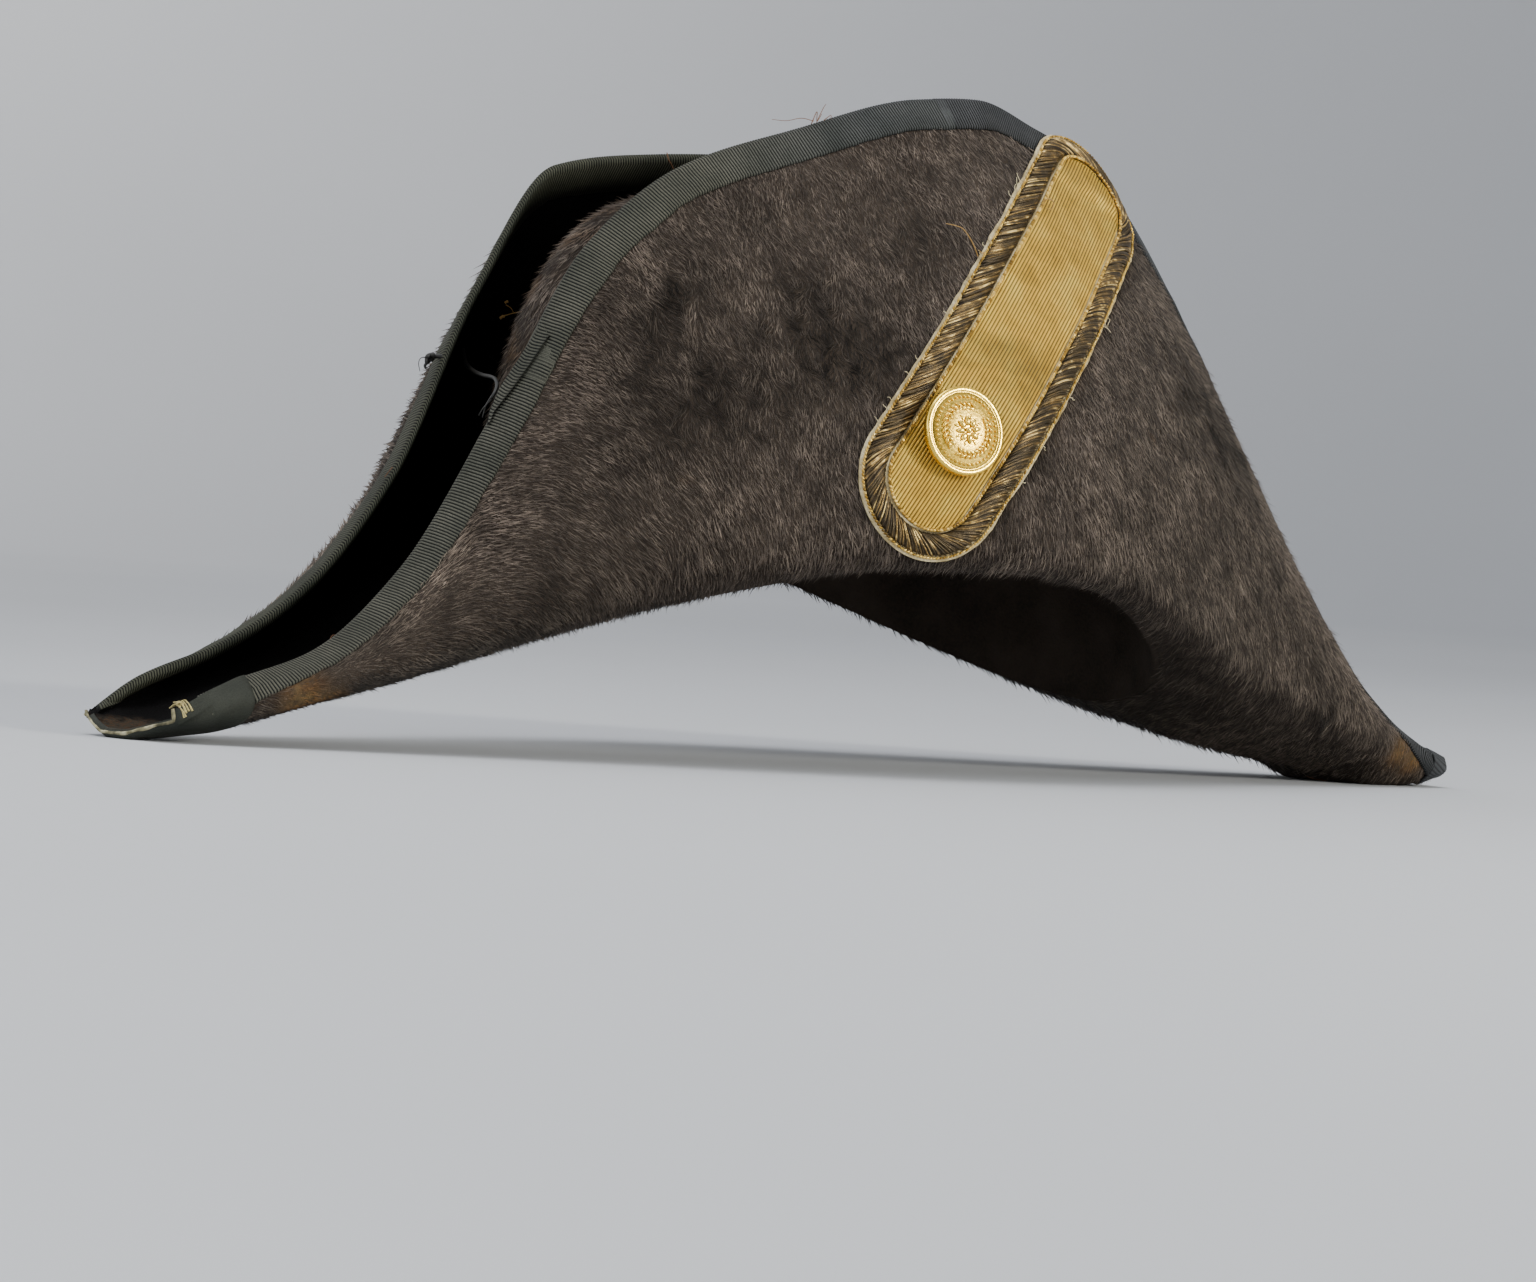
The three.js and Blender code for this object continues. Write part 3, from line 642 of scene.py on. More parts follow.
def make_nap():
    """Hairs of the nap: each has its own tone, and the place it grows in has its own painted light and
    shade.
    """
    look = Finish("nap", Roughness=0.66, Specular_IOR_Level=0.22)
    tone = look.value("tone")
    colour = look.ramp(tone, (0.0, "403833"), (0.5, "6b6057"), (0.86, "8a7d70"), (1.0, "a39485"))
    drift = look.noise(36.0, 3.0, 0.6)
    clump = look.noise(140.0, 4.0, 0.7)
    # Painted light and shade from where each hair grows, varied by random patches and darker at each hair's
    # root.
    shade = look.maths("MULTIPLY", look.value("shade"), look.mapped(drift, 0.3, 0.7, 0.72, 1.28))
    shade = look.maths("MULTIPLY", shade, look.mapped(clump, 0.32, 0.62, 0.5, 1.25))
    shade = look.maths("MULTIPLY", shade, look.mapped(look.value("tip"), 0.0, 1.0, 0.6, 1.12))
    grey = look.add("ShaderNodeCombineColor", {0: shade, 1: shade, 2: shade}).outputs[0]
    colour = look.mix(1.0, colour, grey, "MULTIPLY")
    colour = look.mix(look.maths("MULTIPLY", look.value("worn"), 0.75), colour, "86602f")
    look.colour(colour)
    return look.material


def make_ribbon(name, low, high, rear=None):
    """Grosgrain: two tones of crests, others from the top rearward with painted shade, and near-black
    painted shade in the grooves and along the edges.
    """
    look = Finish(name, Roughness=0.7, Specular_IOR_Level=0.12)
    rib = look.value("rib")
    fine = look.noise(2600.0, 2.0)
    patches = look.noise(90.0, 3.0)
    crest = look.ramp(patches, (0.3, low), (0.7, high))
    # Painted shade: the crests turn darker and bluer from the top rearward.
    if rear:
        y = look.add("ShaderNodeSeparateXYZ", {0: look.place}).outputs[1]
        other = look.ramp(patches, (0.3, rear[0]), (0.7, rear[1]))
        crest = look.mix(look.mapped(y, -0.07, -0.02, 0.0, 1.0), crest, other)
    # Painted shade: near-black in the grooves between the ribs.
    colour = look.mix(look.mapped(rib, 0.45, 1.0, 0.0, 1.0), "090a09", crest)
    colour = look.mix(look.mapped(fine, 0.45, 0.7, 0.0, 0.35), colour, "171914")
    # Painted shade along the ribbon's edges.
    colour = look.mix(look.value("edge"), colour, "0c0d0b")
    look.colour(colour)
    look.bump(fine, 0.00012)
    return look.material


def make_backing():
    """Cream cotton under the strap, soiled in places."""
    look = Finish("cream cotton", Roughness=0.9)
    soil_and_edge_shade = look.noise(220.0, 4.0, 0.6)
    thread = look.noise(2400.0, 2.0)
    colour = look.ramp(soil_and_edge_shade, (0.3, "927e50"), (0.55, "cdbd92"), (0.75, "e4d8b4"))
    look.colour(look.mix(look.mapped(thread, 0.4, 0.7, 0.0, 0.4), colour, "7d6c4a"))
    look.bump(thread, 0.0002)
    return look.material


WIRE_PITCH = 0.42


def make_lace():
    """Woven gold lace: ribs along the strap, crossed by fine wire, tarnished in patches, with painted shade
    between the ribs.
    """
    look = Finish("gold lace", Metallic=0.8, Roughness=0.42)
    rib = look.value("rib")
    along = look.value("along")
    wire = look.maths("SINE", look.maths("MULTIPLY", along, 2 * math.pi / WIRE_PITCH))
    wire = look.mapped(wire, -1.0, 1.0, 0.0, 1.0)
    tarnish = look.noise(95.0, 4.0, 0.65)
    stain = look.noise(26.0, 3.0, 0.6, 0.6)
    gold = look.ramp(tarnish, (0.25, "be9638"), (0.5, "e8bc4c"), (0.75, "ffdc68"))
    gold = look.mix(look.mapped(stain, 0.54, 0.68, 0.0, 0.6), gold, "6d5626")
    # Painted shade: dark brown in the grooves between the ribs.
    gold = look.mix(look.mapped(rib, 0.2, 0.95, 0.92, 0.0), gold, "33240a")
    gold = look.mix(look.mapped(wire, 0.0, 0.6, 0.25, 0.0), gold, "6e5a30")
    look.colour(gold)
    look.roughness(look.mapped(tarnish, 0.3, 0.7, 0.5, 0.34))
    look.bump(wire, 0.00008)
    look.bump(look.noise(2200.0, 2.0), 0.00006)
    return look.material


def make_bullion():
    """Flattened metal thread gone brown, still bright on some strands, with painted glints in specks."""
    look = Finish("tarnished bullion", Metallic=0.6, Roughness=0.36)
    tone = look.value("tone")
    patch = look.noise(160.0, 3.0, 0.6)
    # Painted glints: bright specks, more of them on the brighter strands.
    painted_glint = look.mapped(look.noise(330.0, 2.0), 0.42, 0.68, 0.0, 0.45)
    painted_glint = look.maths("MULTIPLY", painted_glint, look.mapped(tone, 0.2, 0.7, 0.2, 1.0))
    mixed = look.maths("ADD", look.half_and_half(tone, patch), painted_glint)
    look.colour(look.ramp(mixed, (0.2, "2a2218"), (0.46, "564830"), (0.7, "8b7041"), (0.9, "e9cb84")))
    fine = look.noise(2800.0, 2.0)
    look.roughness(look.mapped(patch, 0.3, 0.7, 0.46, 0.28))
    look.bump(fine, 0.00012)
    return look.material


def make_cord():
    """Twisted gold cord."""
    look = Finish("gold cord", Metallic=0.75, Roughness=0.35)
    mixed = look.half_and_half(look.value("tone"), look.noise(120.0, 3.0))
    look.colour(look.ramp(mixed, (0.2, "60481e"), (0.4, "a98435"), (0.62, "d6b25a"), (0.85, "edd084")))
    look.bump(look.noise(3000.0, 2.0), 0.0001)
    return look.material


def make_gilt():
    """Bright fire gilding, darker with painted shade in the hollows."""
    look = Finish("fire gilding", Metallic=1.0, Roughness=0.26)
    patch = look.noise(160.0, 4.0, 0.6)
    fine = look.noise(1800.0, 3.0)
    colour = look.ramp(patch, (0.3, "e8be46"), (0.6, "f8d35c"), (0.8, "ffe57e"))
    colour = look.mix(look.mapped(look.value("hollow"), 0.0, 1.0, 0.0, 0.75), colour, "8f6b24")
    look.colour(colour)
    look.roughness(look.mapped(fine, 0.3, 0.7, 0.2, 0.34))
    look.bump(fine, 0.00004)
    return look.material


def make_thread(name, colour, roughness=0.5):
    """Thread of one colour, darker in places."""
    look = Finish(name, Roughness=roughness)
    tone = look.noise(1500.0, 2.0)
    look.colour(look.mix(look.mapped(tone, 0.3, 0.7, 0.0, 0.5), colour, srgb(colour, 0.35)))
    return look.material


def make_lip():
    """The felt's stiffened core, bared where the front edge is worn through."""
    look = Finish("bared edge", Roughness=0.8)
    patch = look.noise(260.0, 4.0, 0.6)
    look.colour(look.ramp(patch, (0.34, "4e4a35"), (0.5, "8d8665"), (0.66, "cfc7a4")))
    look.bump(look.noise(1500.0, 3.0), 0.0003)
    return look.material


FELT_LOOK = make_felt()
NAP_LOOK = make_nap()
RIBBON_LOOK = make_ribbon("grosgrain", "4e4f46", "656459", ("414545", "565858"))
OLIVE_RIBBON_LOOK = make_ribbon("olive grosgrain", "44463a", "595a4b")
BLUE_RIBBON_LOOK = make_ribbon("darker grosgrain", "3f4144", "545558")
PLAIN_RIBBON_LOOK = make_ribbon("worn plain ribbon", "333630", "42443d")
BACKING_LOOK = make_backing()
LACE_LOOK = make_lace()
BULLION_LOOK = make_bullion()
CORD_LOOK = make_cord()
GILT_LOOK = make_gilt()
LIP_LOOK = make_lip()
BLACK_THREAD = make_thread("black thread", "15140f")
BROWN_THREAD = make_thread("brown thread", "7a4f2c")
GOLD_THREAD = make_thread("gold thread", "b08a4a", 0.35)
CREAM_THREAD = make_thread("cream thread", "d8cba6", 0.8)
KNOT_THREAD = make_thread("yellowed thread", "b9ab74", 0.8)


# ------------------------------------------------------------------ the strap's own frame
# y and z of the two ends of the strap's middle line, and of the point that bends it.
STRAP_LOWER = np.array([-31.0, 75.0])
STRAP_BEND = np.array([5.5, 120.5])
STRAP_UPPER = np.array([51.0, 151.5])
STRAP_HALF = 20.0
BACKING = 0.6
LACE_HALF = 11.4
LACE_THICK = 0.8
BORDER_INNER = 13.0
BORDER_OUTER = 18.4
INNER_CORD = 12.3
OUTER_CORD = 19.1
LAYER = BACKING + 0.1
CLIMB_FROM = 1.0
CLIMB_TO = 5.0
STRAP_STEP = 0.5
STRAP_REACH = 22.0
BORDER_MIDDLE = (BORDER_INNER + BORDER_OUTER) / 2
BORDER_WIDTH = BORDER_OUTER - BORDER_INNER


def side_point(y, z):
    """The point of the left side's outer face at a y and a z."""
    return np.stack([wall_x(y, z), y, z], axis=-1)


def side_normal(y, z):
    """Outward normal of the left side's outer face at a y and a z."""
    step = 0.25
    slope_y = (wall_x(y + step, z) - wall_x(y - step, z)) / (2 * step)
    slope_z = (wall_x(y, z + step) - wall_x(y, z - step)) / (2 * step)
    return unit(np.stack([np.ones_like(slope_y), -slope_y, -slope_z], axis=-1))


def seat_height(y, z):
    """Height of the strap's underside over the felt: it climbs onto the ribbon near the rim."""
    slope = at("leftZ", y + 0.5) - at("leftZ", y - 0.5)
    below = (at("leftZ", y) - z) / np.hypot(1, slope) - BINDING_WIDTH
    return GAP + STEP_UP * (1 - smoothstep(below, CLIMB_FROM, CLIMB_TO))


def strap_middle():
    """Points along the strap's middle line, evenly spaced, and its length."""
    t = np.linspace(0, 1, 400)[:, None]
    flat = (1 - t) ** 2 * STRAP_LOWER + 2 * (1 - t) * t * STRAP_BEND + t**2 * STRAP_UPPER
    line = side_point(flat[:, 0], flat[:, 1])
    reach = np.concatenate([[0], np.cumsum(np.linalg.norm(np.diff(line, axis=0), axis=1))])
    count = int(round(reach[-1] / STRAP_STEP))
    stops = np.linspace(0, reach[-1], count + 1)
    return np.stack([np.interp(stops, reach, line[:, k]) for k in range(3)], axis=1), reach[-1]


STRAP_LINE, STRAP_LENGTH = strap_middle()


def walk_on(points, directions, step):
    """Points moved straight on over the felt."""
    normals = side_normal(points[:, 1], points[:, 2])
    flat = directions - normals * (directions * normals).sum(axis=1, keepdims=True)
    moved = points + unit(flat) * step
    return side_point(moved[:, 1], moved[:, 2])


def strap_table():
    """Points of the felt under the strap by distance along it and across it."""
    directions = unit(np.gradient(STRAP_LINE, axis=0))
    ends = int(STRAP_REACH / STRAP_STEP)
    line, ways = [STRAP_LINE], [directions]
    for end, sign in ((0, -1.0), (-1, 1.0)):
        point, way = STRAP_LINE[end][None], directions[end][None]
        extra = []
        for _ in range(ends):
            point = walk_on(point, way * sign, STRAP_STEP)
            extra.append(point)
        extra = np.concatenate(extra)
        more = np.repeat(way, ends, axis=0)
        if sign < 0:
            line, ways = [extra[::-1]] + line, [more] + ways
        else:
            line, ways = line + [extra], ways + [more]
    line, ways = np.concatenate(line), np.concatenate(ways)
    aside = np.cross(side_normal(line[:, 1], line[:, 2]), ways)
    columns = {0: line}
    for sign in (1, -1):
        point = line
        for k in range(1, ends + 1):
            point = walk_on(point, aside * sign, STRAP_STEP)
            columns[sign * k] = point
    return np.stack([columns[k] for k in range(-ends, ends + 1)], axis=1)


STRAP_TABLE = strap_table()
STRAP_NORMALS = side_normal(STRAP_TABLE[..., 1], STRAP_TABLE[..., 2])


def strap_look_up(table, along, across):
    """Reads a table of the strap's seat between its points."""
    row = np.clip((along + STRAP_REACH) / STRAP_STEP, 0, table.shape[0] - 1.001)
    column = np.clip((across + STRAP_REACH) / STRAP_STEP, 0, table.shape[1] - 1.001)
    return read_between(table, row, column)


def on_strap(along, across, height):
    """Points over the strap's seat, by distance along, across (to the front) and height."""
    along, across, height = np.broadcast_arrays(
        np.asarray(along, float), np.asarray(across, float), np.asarray(height, float)
    )
    base = strap_look_up(STRAP_TABLE, along, across)
    normal = unit(strap_look_up(STRAP_NORMALS, along, across))
    lifted = height + seat_height(base[..., 1], base[..., 2])
    return base + normal * lifted[..., None]


def outline_length(distance):
    """Length of the line round the strap at one distance from its middle line."""
    return 2 * STRAP_LENGTH + 2 * np.pi * distance


def outline_places(distance, spacing):
    """Evenly spaced places along the line round the strap at one distance."""
    total = outline_length(distance)
    count = int(round(total / spacing))
    return np.arange(count) * total / count


def outline_point(s, distance, middle):
    """(along, across) at places `s` of the line round the strap at one distance, `middle`.

    The points are moved out or in, square to that line, until they lie at `distance`. The line
    starts at the upper end's rear corner and runs over that end, the front edge and the lower end.
    """
    turn = np.pi * middle
    s = np.asarray(s) % outline_length(middle)
    angle_up = -0.5 * np.pi + s / middle
    angle_low = 0.5 * np.pi + (s - turn - STRAP_LENGTH) / middle
    stretches = [s < turn, s < turn + STRAP_LENGTH, s < 2 * turn + STRAP_LENGTH]
    upper = STRAP_LENGTH + distance * np.cos(angle_up), distance * np.sin(angle_up)
    front = STRAP_LENGTH - (s - turn), distance + 0 * s
    lower = distance * np.cos(angle_low), distance * np.sin(angle_low)
    along = np.select(stretches, [upper[0], front[0], lower[0]], s - 2 * turn - STRAP_LENGTH)
    across = np.select(stretches, [upper[1], front[1], lower[1]], -distance + 0 * s)
    return along, across


# ------------------------------------------------------------------ felt body
BRIM_ROWS = 172
BRIM_COLUMNS = 44


def tip_share(y):
    """0 over most of the hat, rising to 1 at a tip's edge."""
    return smoothstep(np.abs(y), TIP_THIN_FROM, REAR_END)


def both_sides(ys, shares, height):
    """Rows of points from the left rim over the keel to the right rim."""
    height = np.broadcast_to(height, (len(ys), 1))
    left = LEFT.at_share(ys[:, None], shares[None, :], height + 0 * shares[None, :])
    back = shares[::-1][1:]
    right = RIGHT.at_share(ys[:, None], back[None, :], height + 0 * back[None, :])
    return np.concatenate([left, right], axis=1)


def make_brim():
    """The felt sheet with both turned-up sides, and the head opening cut out of it."""
    ys = np.linspace(FRONT_END, REAR_END, BRIM_ROWS)
    shares = np.linspace(0, 1, BRIM_COLUMNS)
    thickness = FELT - TIP_THIN * tip_share(ys)[:, None]
    outer = both_sides(ys, shares, 0.0)
    inner = both_sides(ys, shares, -thickness)
    none = 0 * outer[..., 0]
    values = {
        "worn": two_layers(worn_share(outer), worn_share(inner, inside=True)),
        "inside": two_layers(none, none + 1),
    }
    brim = sheet_object("brim_felt", outer, inner, FELT_LOOK, values)
    opening = oval_prism(HEAD_HALF_WIDTH, HEAD_HALF_LENGTH, HEAD_CUT_FOOT, HEAD_CUT_TOP)
    cut = brim.modifiers.new("opening", "BOOLEAN")
    cut.operation = "DIFFERENCE"
    cut.solver = "EXACT"
    cut.object = opening
    settle(brim)
    bpy.data.objects.remove(opening)
    return brim


def settle(obj):
    """Applies an object's modifiers to its mesh."""
    bpy.context.view_layer.update()
    graph = bpy.context.evaluated_depsgraph_get()
    mesh = bpy.data.meshes.new_from_object(obj.evaluated_get(graph))
    mesh.name = obj.name
    obj.modifiers.clear()
    obj.data = mesh
    return obj


def oval_prism(half_width, half_length, low, high):
    angles = np.linspace(0, 2 * np.pi, CROWN_AROUND + 1)[:-1]
    x, y = half_width * np.cos(angles), half_length * np.sin(angles)
    rings = np.stack([np.stack([x, y, z + 0 * x], axis=-1) for z in (low, high)])
    return swept_object("oval", rings, None, smooth=False)


# Worn places of the nap: x, y, z, radius and strength.
WORN_SPOTS = np.array(
    [
        [28.3, -183.0, 12.6, 5.2, 1.0],
        [28.0, -176.0, 12.0, 4.0, 0.8],
        [24.3, -69.5, 41.9, 2.0, 0.9],
        [27.8, 189.0, 9.8, 4.0, 0.8],
        [25.6, 197.0, 8.5, 4.5, 1.0],
        [69.7, 52.5, 90.7, 0.8, 0.9],
        [57.2, -92.0, 72.8, 0.8, 0.7],
    ]
)


def worn_share(points, inside=False):
    """How worn the felt is at points: 0 to 1. The front tip's trough is worn inside."""
    worn = np.zeros(points.shape[:-1])
    for x, y, z, radius, strength in WORN_SPOTS:
        distance = np.linalg.norm(points - np.array([x, y, z]), axis=-1)
        worn = np.maximum(worn, strength * np.exp(-((distance / radius) ** 2)))
    if inside:
        trough = smoothstep(-points[..., 1], 196, 208) * smoothstep(6.0 - points[..., 2], 0, 3)
        worn = np.maximum(worn, trough)
    return worn


# ------------------------------------------------------------------ crown
CROWN_TOP = 148.0
CROWN_SIDE = {"from_z": 58.0, "taper": 21.0, "power": 2.6}
CROWN_END = {"from_z": 35.0, "taper": 7.0, "power": 5.0}
CROWN_AROUND = 128
FOOT_FLARE = 0.6  # closes the seam between crown and brim
CROWN_ROWS = 34


def crown_skin(inset):
    """Rings of the dome from its lower edge to just short of its top."""
    top_z = CROWN_TOP - inset
    angles = np.linspace(0, 2 * np.pi, CROWN_AROUND + 1)[:-1]
    x, y = HEAD_HALF_WIDTH * np.cos(angles), HEAD_HALF_LENGTH * np.sin(angles)
    low = underside_z(x, y) + 0.2
    rise = np.sin(np.linspace(0, 1, CROWN_ROWS) ** 0.8 * 0.985 * np.pi / 2)[:, None]
    z = low[None, :] + (top_z - low[None, :]) * rise
    foot = FOOT_FLARE * smoothstep(18.0 - (z - low[None, :]), 0, 8)

    def half(base, rule):
        up = np.maximum((z - rule["from_z"]) / (top_z - rule["from_z"]), 0)
        inner = np.maximum(1 - up ** rule["power"], 0) ** (1 / rule["power"])
        return (base - GAP - inset + foot - rule["taper"] * up) * inner

    side = half(HEAD_HALF_WIDTH, CROWN_SIDE)
    end = half(HEAD_HALF_LENGTH, CROWN_END)
    return np.stack([side * np.cos(angles), end * np.sin(angles), z], axis=-1)


def underside_z(x, y):
    """Height of the brim's underside at plan points near the head opening."""
    shares = np.linspace(0.2, 1, 300)
    low = np.empty(len(x))
    for i in range(len(x)):
        line = LEFT.at_share(y[i] + 0 * shares, shares)
        line = line[np.argmax(line[:, 0]) :]
        low[i] = np.interp(-abs(x[i]), -line[:, 0], line[:, 2])
    return low


def make_crown():
    """The dome, one felt thick and open below."""
    outer = crown_skin(0.0)
    inner = crown_skin(FELT)
    inner[0, :, 2] = outer[0, :, 2]
    rings = np.concatenate([outer[::-1], inner])
    return swept_object("crown_felt", rings, FELT_LOOK, values={"worn": 0.0, "inside": 0.0})


# ------------------------------------------------------------------ nap
def bound_arc(side, y):
    """Distance down the section that the ribbon covers."""
    slope = at(side.name + "Z", y + 0.5) - at(side.name + "Z", y - 0.5)
    down = side.look_up(side.along, y, np.zeros_like(y))[..., 1]
    arc = BINDING_WIDTH / np.sqrt(1 - (down * slope) ** 2 / (1 + slope**2))
    return np.minimum(arc, MOST_BOUND * side.section_length(y))


SIDE_MIDDLE = 120.0  # heights inside the hat that the sides and the dome face away from
CROWN_MIDDLE = 60.0

# Dark tufted patches on the left side, darkened with painted shadow in the tufts: y, distance down from the
# rim, radius, strength.
DARK_PATCHES = np.array(
    [
        [-87.5, 32.6, 6.5, 0.8],
        [-98.0, 42.0, 5.0, 0.45],
        [-55.5, 47.4, 7.0, 0.6],
        [-51.0, 60.0, 8.5, 0.9],
        [-45.0, 70.0, 7.0, 0.95],
        [-38.0, 66.0, 5.0, 0.7],
        [-66.0, 50.0, 5.0, 0.5],
        [-85.0, 56.9, 7.5, 0.7],
        [-79.0, 63.0, 6.0, 0.6],
        [-92.0, 66.0, 5.0, 0.4],
        [79.0, 55.7, 5.5, 0.6],
        [91.0, 46.0, 6.5, 0.9],
        [150.0, 46.0, 6.0, 0.6],
        [-70.0, 70.0, 7.0, 0.6],
        [104.0, 37.0, 6.0, 0.6],
        [111.5, 30.3, 5.0, 0.6],
        [69.5, 75.2, 2.0, 0.9],
        [-20.0, 40.0, 6.0, 0.35],
        [20.0, 30.0, 5.0, 0.35],
    ]
)


def dark_share(y, arc):
    """How dark and tufted the nap is, from 0 to 1, at a distance down from the rim."""
    dark = np.zeros(np.broadcast(y, arc).shape)
    warp_y = y + 3.0 * ripple(y, arc, 9.0, 5)
    warp_arc = arc + 3.0 * ripple(y, arc, 9.0, 6)
    for py, pa, radius, strength in DARK_PATCHES:
        squared = ((warp_y - py) ** 2 + (warp_arc - pa) ** 2) / (1.3 * radius) ** 2
        dark = np.maximum(dark, strength * np.exp(-squared))
    tufts = smoothstep(ripple(y, arc, 5.0, 7), -0.9, 0.5)
    return np.clip(1.6 * dark, 0, 1) * (0.4 + 0.6 * tufts)


def hair_shape():
    """A slim closed hair of length one along Z, bent a little towards the felt."""
    points = np.array([[-0.5, -0.3, -0.05], [0.5, -0.3, -0.05], [0.0, 0.45, -0.05], [0.0, -0.9, 1.0]])
    faces = np.array([[0, 1, 3], [1, 2, 3], [2, 0, 3], [1, 0, 2]])
    tip = np.array([0.0, 0.0, 0.0, 1.0])
    return keep_hidden(new_object("hair", points / MM, faces, None, False, {"tip": tip}))


FLOOR_ROOM = 0.05  # hairs bend flat this far over the ground

# Corners of a hair's four faces in its own cell of the map for baking.
HAIR_CORNERS = [
    [0.02, 0.05], [0.31, 0.05], [0.165, 0.93],
    [0.35, 0.05], [0.64, 0.05], [0.495, 0.93],
    [0.68, 0.05], [0.97, 0.05], [0.825, 0.93],
    [0.27, 0.96], [0.39, 0.96], [0.33, 0.7],
]


def nap_tree(hair, material):
    """Hairs strewn over a surface, combed along its `comb` and thinned by its `thick`."""
    tree = ShapeTree("nap")
    density = tree.number("Density", 1.0e6)
    length = tree.number("Length", 0.003)
    width = tree.number("Width", 0.0003)
    lift = tree.number("Lift", 0.3)
    spread = tree.number("Spread", 0.2)
    seed = tree.number("Seed", 1)
    strewn = tree.add(
        "GeometryNodeDistributePointsOnFaces",
        {
            "Mesh": tree.start.outputs["Geometry"],
            "Density": tree.maths("MULTIPLY", density, tree.named("thick")),
            "Seed": seed,
        },
    )
    normal = strewn.outputs["Normal"]
    stand = tree.vector("SCALE", normal, tree.maths("MULTIPLY", lift, tree.random(0.5, 1.7, 2)))
    way = tree.vector("ADD", tree.named("comb", "FLOAT_VECTOR"), stand)
    way = tree.vector("ADD", way, tree.random_vector(spread, 3))
    reach = tree.maths("MULTIPLY", length, tree.named("long"))
    reach = tree.maths("MULTIPLY", reach, tree.random(0.55, 1.4, 4))
    broad = tree.maths("MULTIPLY", width, tree.random(0.7, 1.35, 5))
    turn = tree.turned(way, normal, "Y")
    tree.strew(strewn.outputs["Points"], hair, turn, (broad, width, reach), material)
    return tree


def nap_on(name, tree, surface, density, length, width, lift, spread, seed):
    """Runs the nap tree over a grid of points with its named values."""
    holder = open_grid(name + " base", *surface)
    tree.values.update(
        Density=float(density) * 1e6,
        Length=float(length) * MM,
        Width=float(width) * MM,
        Lift=float(lift),
        Spread=float(spread),
        Seed=int(seed),
    )
    made = tree.run(name, holder)
    places = np.zeros(3 * len(made.data.vertices), np.float32)
    made.data.vertices.foreach_get("co", places)
    places[2::3] = np.maximum(places[2::3], FLOOR_ROOM * MM)
    made.data.vertices.foreach_set("co", places)
    drop_values(made, "comb", "thick", "long")
    return give_cells(made, len(HAIR_CORNERS) // 3, HAIR_CORNERS)


def drop_values(obj, *names):
    """Removes named values that only served to place things."""
    for name in names:
        if name in obj.data.attributes:
            obj.data.attributes.remove(obj.data.attributes[name])


def open_grid(name, points, outward, values):
    """An open grid with its faces turned outward."""
    faces = grid_faces(*points.shape[:2])
    flat = points.reshape(-1, 3)
    a, b, c = flat[faces[:, 0]], flat[faces[:, 1]], flat[faces[:, 2]]
    facing = (np.cross(b - a, c - a) * outward.reshape(-1, 3)[faces[:, 0]]).sum()
    if facing < 0:
        faces = faces[:, ::-1]
    values = {key: array.reshape(len(flat), -1).squeeze() for key, array in values.items()}
    return in_scene(name, new_mesh(name, flat, faces, values))


def combed(points, angle):
    """Directions over a grid, at an angle from down the columns towards the rear."""
    down = unit(np.gradient(points, axis=1))
    rear = np.gradient(points, axis=0)
    rear = unit(rear - down * (rear * down).sum(axis=-1, keepdims=True))
    return down * np.cos(angle)[..., None] + rear * np.sin(angle)[..., None]


def under_strap(points):
    """Distance from the strap's middle line."""
    flat = points.reshape(-1, 3)
    best = np.full(len(flat), 1e9)
    for p in STRAP_LINE[::4]:
        best = np.minimum(best, np.linalg.norm(flat - p, axis=1))
    return best.reshape(points.shape[:-1])


NAP_ROW_STEP = 1.6
NAP_COLUMNS = 110
NAP_UNDER_RIBBON = 0.8


def side_comb(points, y, arc, dark):
    """The nap is combed down, and lies rearward along the front tip."""
    way = np.clip((-y - 60) / 85, 0, 1) ** 1.4
    low = 10 * smoothstep(arc, 55, 115) * smoothstep(-y, 15, 60) * (1 - way)
    wander = 8 * ripple(y, arc, 24.0, 11) + 5 * ripple(y, arc, 8.0, 12)
    wander = wander + 55 * dark * ripple(y, arc, 6.0, 15)
    return combed(points, np.radians(-4 + 92 * way + low + wander))


def side_cover(side, points, share, below, dark, worn):
    """There is no nap in the head opening, under the strap or against the ground, and less below."""
    x, y, z = np.moveaxis(points, -1, 0)
    hidden = (x / (HEAD_HALF_WIDTH + 0.5)) ** 2
    hidden = hidden + (y / (HEAD_HALF_LENGTH + 0.5)) ** 2
    opening = np.where((hidden < 1) & (z < HEAD_CUT_TOP), 0.0, 1.0)
    thick = opening * smoothstep(z, 0.9, 2.6)
    if side is LEFT:
        thick = thick * smoothstep(under_strap(points), STRAP_HALF - 1.4, STRAP_HALF - 0.2)
    thick = thick * (1 - 0.95 * worn) * (1 - 0.2 * dark)
    seen_below = smoothstep(-y, 60, 110) * (1.0 if side is LEFT else 0.8 * near_keel(share))
    return thick * (1 - 0.6 * below * (1 - seen_below))


